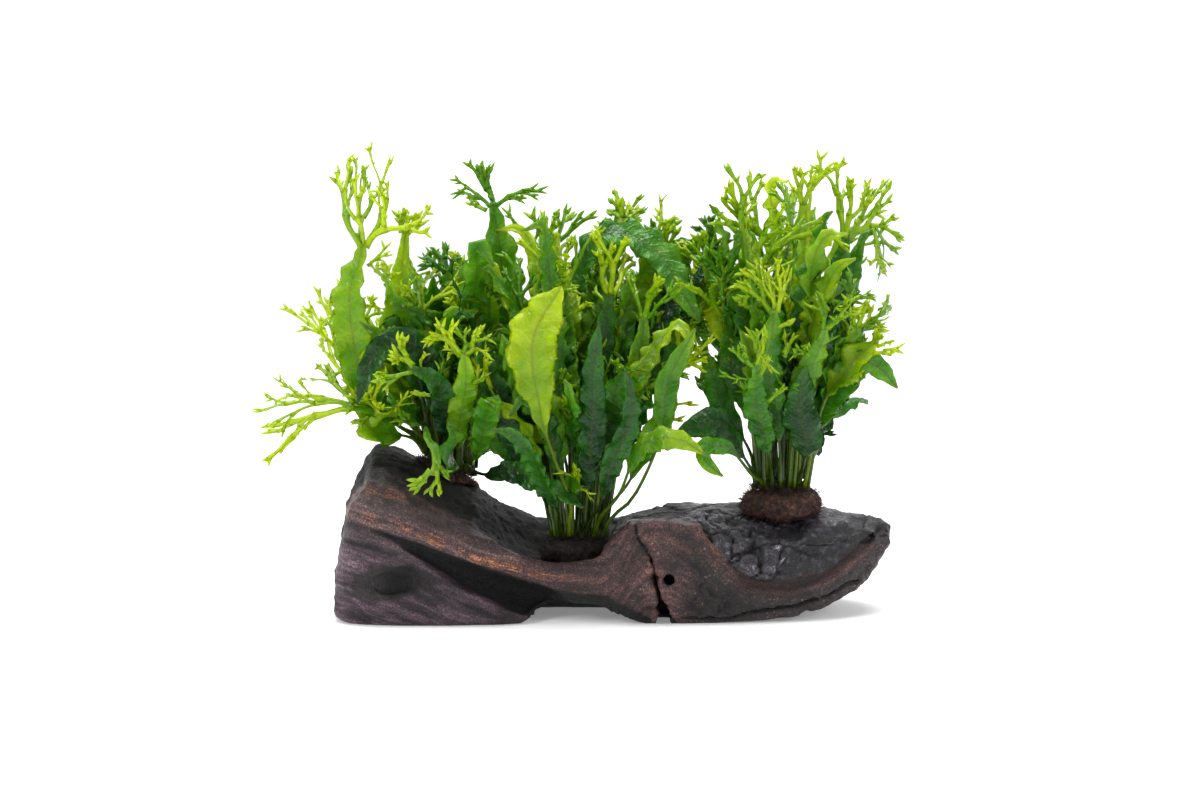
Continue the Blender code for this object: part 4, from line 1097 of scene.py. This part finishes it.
def leaf_group():
    """Leaf green by tone, with a paler midrib, side veins, mottling, and the relief of its veins."""
    tree, given = new_group("leaf_surface", ["Tone", "Rib"],
                            {"Color": "Color", "Roughness": "Float", "Height": "Float"})
    place, uv = object_place(tree), surface_map(tree)
    blotch, fine, wrinkle = noise(tree, place, 9, 3), noise(tree, place, 1.3, 3), noise(tree, place, 4.5, 2)
    split = add_node(tree, "ShaderNodeSeparateXYZ", {0: uv}).outputs
    slanted = total(tree, split[1], (maths(tree, "ABSOLUTE", split[0]), -VEIN_SLANT))
    wave = maths(tree, "SINE", times(tree, slanted, 2 * math.pi / VEIN_SPACING))
    vein = maths(tree, "POWER", maths(tree, "ABSOLUTE", total(tree, 0.5, (wave, 0.5))), 9.0)
    net_place = add_node(tree, "ShaderNodeMapping", {"Vector": uv, "Scale": (1.0, 0.8, 1.0)}).outputs[0]
    net = add_node(tree, "ShaderNodeTexVoronoi", {"Vector": net_place, "Scale": 0.75},
                   feature="DISTANCE_TO_EDGE", voronoi_dimensions="2D").outputs["Distance"]
    net_line = ramp(tree, net, (0.0, 1.0), (0.12, 0.0))
    shade = total(tree, given["Tone"], (maths(tree, "SUBTRACT", blotch, 0.5), 0.5),
                  (maths(tree, "SUBTRACT", fine, 0.5), 0.14), (vein, 0.05))
    green = ramp(tree, shade, (0.0, "0e3d09"), (0.2, "206307"), (0.42, "448a05"), (0.62, "6ea403"),
                 (0.82, "96b902"), (1.0, "b6cc04"))
    veined = blend(tree, times(tree, net_line, 0.10), green, colour("0c3a06"))
    rib_shade = ramp(tree, given["Tone"], (0.0, "2c3c0c"), (0.5, "5a6a12"), (1.0, "94a020"))
    rib_part = times(tree, maths(tree, "POWER", given["Rib"], 2.0), 0.75)
    add_node(tree, "NodeGroupOutput", {
        "Color": blend(tree, rib_part, veined, rib_shade),
        "Roughness": total(tree, 0.08, (blotch, 0.3)),
        "Height": total(tree, times(tree, vein, 0.6), (net_line, -0.35), (fine, 0.3), (wrinkle, 2.2))})
    return tree


def grit_group():
    """Granular speckle for bark, coir and roots: a light-and-dark mask and its relief, by size of grain."""
    tree, given = new_group("grit", ["Grain"], {"Speckle": "Float", "Height": "Float"})
    place = object_place(tree)
    scale = maths(tree, "DIVIDE", 1 / MM, given["Grain"])
    cells = add_node(tree, "ShaderNodeTexVoronoi", {"Vector": place, "Scale": scale}).outputs
    fine = add_node(tree, "ShaderNodeTexNoise", {"Vector": place, "Scale": scale, "Detail": 5.0,
                                                 "Roughness": 0.65}).outputs[0]
    tint = add_node(tree, "ShaderNodeSeparateColor", {0: cells["Color"]}).outputs[0]
    dome = maths(tree, "SUBTRACT", 1.0, cells["Distance"])
    add_node(tree, "NodeGroupOutput", {
        "Speckle": times(tree, tint, ramp(tree, fine, (0.35, 0.0), (0.65, 1.0))),
        "Height": total(tree, times(tree, dome, 0.6), (fine, 0.8))})
    return tree


def new_material(name):
    material = bpy.data.materials.new(name)
    material.use_nodes = True
    material.node_tree.nodes.clear()
    return material, material.node_tree


def principled(tree, inputs):
    return add_node(tree, "ShaderNodeBsdfPrincipled", inputs).outputs[0]


def show(tree, shader):
    add_node(tree, "ShaderNodeOutputMaterial", {"Surface": shader})


def bumped(tree, height, distance, strength=1.0):
    """Relief of a depth in millimetres."""
    return add_node(tree, "ShaderNodeBump", {"Height": height, "Distance": distance * MM,
                                             "Strength": strength}).outputs[0]


def leaf_material(group):
    """A glossy leaf that lets some light through."""
    material, tree = new_material("fern_leaf")
    leaf = use_group(tree, group, Tone=mask(tree, "tone"), Rib=mask(tree, "rib"))
    face = principled(tree, {"Base Color": leaf["Color"], "Roughness": leaf["Roughness"],
                             "Normal": bumped(tree, leaf["Height"], 0.34, 0.9), "Specular IOR Level": 0.5})
    through = add_node(tree, "ShaderNodeHueSaturation", {"Hue": 0.49, "Saturation": 1.12, "Value": 1.75,
                                                         "Fac": 1.0, "Color": leaf["Color"]}).outputs[0]
    lit = add_node(tree, "ShaderNodeBsdfTranslucent", {"Color": through}).outputs[0]
    show(tree, add_node(tree, "ShaderNodeMixShader", {0: 0.38, 1: face, 2: lit}).outputs[0])
    return material


def grain_lines(tree, uv, shift, stretch):
    """Streaks along the grain, from the wood's own map of length along it and height over it."""
    place = add_node(tree, "ShaderNodeMapping", {"Vector": uv, "Scale": stretch}).outputs[0]
    moved = add_node(tree, "ShaderNodeVectorMath", {0: place, 1: shift}, operation="ADD").outputs[0]
    return add_node(tree, "ShaderNodeTexNoise", {"Vector": moved, "Scale": 1.0, "Detail": 5.0,
                                                 "Roughness": 0.62}).outputs[0]


def wood_material(grit):
    """Weathered wood: brown, pink or red grain, worn to orange, dusted, charred and sooted by its masks, with
    painted shade in its hollows, cracks and under its bridge, and painted highlights on its ridges and the
    trough's rim.
    """
    material, tree = new_material("driftwood")
    place, uv = object_place(tree), surface_map(tree)
    char, warm, red, pink, soot_and_painted_shade, raised, dusty, slab = (
        mask(tree, name) for name in ("char", "warm", "red", "pink", "soot_and_painted_shade", "raised", "dusty", "slab"))
    bend = noise(tree, place, 14, 3)
    shift = add_node(tree, "ShaderNodeCombineXYZ", {"Y": times(tree, bend, 2.2), "Z": bend}).outputs[0]
    lines = grain_lines(tree, uv, shift, (0.03, 0.42, 1.0))
    fine_lines = grain_lines(tree, uv, shift, (0.10, 1.9, 1.0))
    small, large = use_group(tree, grit, Grain=0.9), use_group(tree, grit, Grain=2.2)
    patch, grains = noise(tree, place, 7, 4), noise(tree, place, 0.7, 2, 0.7)

    bare = ramp(tree, lines, (0.3, "1c1316"), (0.45, "33252a"), (0.58, "4b3a38"), (0.72, "665049"))
    pinkish = ramp(tree, lines, (0.32, "160e13"), (0.43, "3c2c35"), (0.56, "5c4953"), (0.74, "826972"))
    reddish = ramp(tree, lines, (0.28, "211518"), (0.45, "3d2a2b"), (0.58, "523733"), (0.74, "654740"))
    base = blend(tree, pink, blend(tree, red, bare, reddish), pinkish)
    thread = times(tree, ramp(tree, fine_lines, (0.36, 1.0), (0.46, 0.0)), 0.45)
    base = blend(tree, thread, base, colour("241519"))
    flecks = times(tree, ramp(tree, small["Speckle"], (0.45, 0.0), (0.8, 1.0)),
                   ramp(tree, patch, (0.42, 0.1), (0.6, 0.6)))
    base = blend(tree, flecks, base, blend(tree, pink, colour("9a6a58"), colour("86505a")))
    orange = ramp(tree, fine_lines, (0.36, "2c1815"), (0.48, "653829"), (0.6, "a06844"), (0.75, "c49468"))
    speckled = times(tree, warm, ramp(tree, small["Height"], (0.45, 0.25), (0.8, 1.0)))
    base = blend(tree, speckled, base, orange)
    # dust, and the painted highlight along the trough's rim
    dust = times(tree, dusty, ramp(tree, small["Speckle"], (0.35, 0.0), (0.7, 0.7)))
    base = blend(tree, dust, base, colour("7c5a4e"))
    charred = ramp(tree, small["Speckle"], (0.0, "0f0c0f"), (0.3, "1f191b"), (0.6, "3d302e"), (0.9, "7a5d50"))
    blocks = ramp(tree, large["Speckle"], (0.0, "1d1b20"), (0.45, "444149"), (1.0, "8a858e"))
    base = blend(tree, char, base, blend(tree, times(tree, slab, 0.8), charred, blocks))
    base = blend(tree, 1.0, base, ramp(tree, grains, (0.34, 0.22), (0.5, 0.85), (0.66, 1.9)), "MULTIPLY")
    # painted shade and highlight: the colour darkens in the relief's hollows and lightens on its ridges
    base = blend(tree, 1.0, base, ramp(tree, raised, (0.2, 0.45), (0.5, 0.98), (0.85, 1.5)), "MULTIPLY")
    # soot and painted shade: near black where the wood is sooty or its hollows are shaded
    base = blend(tree, times(tree, soot_and_painted_shade, 0.94), base, colour("070607"))

    smooth_lines = times(tree, total(tree, 1.0, (char, -0.8)), fine_lines)
    height = total(tree, times(tree, smooth_lines, 0.7), (small["Height"], 0.6), (large["Height"], 0.5),
                   (grains, 0.5))
    rough = total(tree, 0.42, (small["Speckle"], 0.3), (soot_and_painted_shade, 0.25), (slab, -0.1))
    show(tree, principled(tree, {"Base Color": base, "Roughness": rough, "Normal": bumped(tree, height, 0.6),
                                 "Specular IOR Level": 0.42}))
    return material


def fibre_material(grit, name, dark, middle, pale, grain):
    """Matted fibre, by its dark, middle and pale colours."""
    material, tree = new_material(name)
    grains = use_group(tree, grit, Grain=grain)
    shade = total(tree, times(tree, grains["Speckle"], 0.55), (noise(tree, object_place(tree), 4, 2), 0.6))
    show(tree, principled(tree, {"Base Color": ramp(tree, shade, (0.2, dark), (0.45, middle), (0.8, pale)),
                                 "Roughness": 0.8, "Normal": bumped(tree, grains["Height"], 0.4, 0.8)}))
    return material


# ---------------------------------------------------------------- floor, lights and camera
FLOOR_HALF = 3.5
BACKDROP_HALF, BACKDROP_HEIGHT, BACKDROP_PLACE = 3.5, 2.6, 2.4  # metres; its place is how far behind the wood
STAGE_SHADE = 0.9
FLOOR_GLOW, BACKDROP_GLOW, WORLD_GLOW = 0.2, 0.9, 0.34
LIT_POINT = (0.0, 0.0, 0.1)
# name: its place in metres, its two sides, and its power in watts
SOFTBOXES = {
    "softbox_above": ((0.0, 0.15, 1.3), (1.2, 0.7), 27.0),
    "softbox_left": ((-0.9, -0.6, 0.75), (0.35, 0.5), 6.5),
    "softbox_right": ((1.0, -0.5, 0.6), (0.25, 0.6), 4.0),
}
VIEW_CENTRE = (9.7, 0.0, 91.4)  # the point of the design that the camera looks at
VIEW_DISTANCE, VIEW_HEIGHT = 1.225, 8.0  # metres, and degrees above level
LENS, SENSOR = 85.0, 36.0


def make_stage(name, corners, glow):
    """A plain pale sheet behind or below the wood, lit a little from within."""
    mesh = bpy.data.meshes.new(name)
    mesh.from_pydata(corners, [], [(0, 1, 2, 3)])
    material, tree = new_material(name)
    show(tree, principled(tree, {"Base Color": (STAGE_SHADE, STAGE_SHADE, STAGE_SHADE, 1.0), "Roughness": 0.9,
                                 "Specular IOR Level": 0.1, "Emission Color": (1.0, 1.0, 1.0, 1.0),
                                 "Emission Strength": glow}))
    mesh.materials.append(material)
    new_object(name, mesh)


def aim(thing, place, target):
    """Puts a light or a camera at a place and turns it to a target."""
    thing.location = place
    thing.rotation_euler = (Vector(target) - Vector(place)).to_track_quat("-Z", "Y").to_euler()


def make_studio():
    scene = bpy.context.scene
    half = FLOOR_HALF
    make_stage("studio_floor", [(-half, -half, 0), (half, -half, 0), (half, half, 0), (-half, half, 0)],
               FLOOR_GLOW)
    half, far, top = BACKDROP_HALF, BACKDROP_PLACE, BACKDROP_HEIGHT
    make_stage("studio_backdrop", [(-half, far, 0), (half, far, 0), (half, far, top), (-half, far, top)],
               BACKDROP_GLOW)
    for name, (place, sides, watts) in SOFTBOXES.items():
        lamp = bpy.data.lights.new(name, "AREA")
        lamp.shape, lamp.energy = "RECTANGLE", watts
        lamp.size, lamp.size_y = sides
        aim(new_object(name, lamp), place, LIT_POINT)

    scene.world = bpy.data.worlds.new("studio")
    scene.world.use_nodes = True
    sky = scene.world.node_tree.nodes["Background"].inputs
    sky["Color"].default_value = (0.97, 0.98, 1.0, 1.0)
    sky["Strength"].default_value = WORLD_GLOW
    scene.view_settings.view_transform = "Standard"

    lens = bpy.data.cameras.new("camera")
    lens.lens, lens.sensor_width = LENS, SENSOR
    lens.clip_start, lens.clip_end = 0.05, 20.0
    scene.camera = new_object("camera", lens)
    target, height = Vector(to_frame(VIEW_CENTRE)), math.radians(VIEW_HEIGHT)
    aim(scene.camera, target + VIEW_DISTANCE * Vector((0.0, -math.cos(height), math.sin(height))), target)


# ---------------------------------------------------------------- the whole
grit = grit_group()
leaf = leaf_material(leaf_group())
wood = wood_material(grit)
coir = fibre_material(grit, "coir", "140b09", "3c251c", "6e4a38", 1.4)
# the coir in painted shade: a darker copy of the coir for the middle plug, where it lies in the trough
shaded_coir = fibre_material(grit, "shaded_coir", "070505", "1a110e", "3d2a22", 1.4)
rhizome = fibre_material(grit, "rhizome", "16180c", "3a3a1c", "66602c", 1.2)

make_driftwood(wood)
scatter = scatter_tree()
for index, clump in enumerate(PLUGS):
    # the middle plug gets the coir in painted shade
    make_plug(clump, index, scatter, shaded_coir if clump == "middle" else coir)
    make_rhizome(clump, index, scatter, rhizome)
    make_young_fronds(clump, leaf)
make_fronds(leaf)
make_studio()
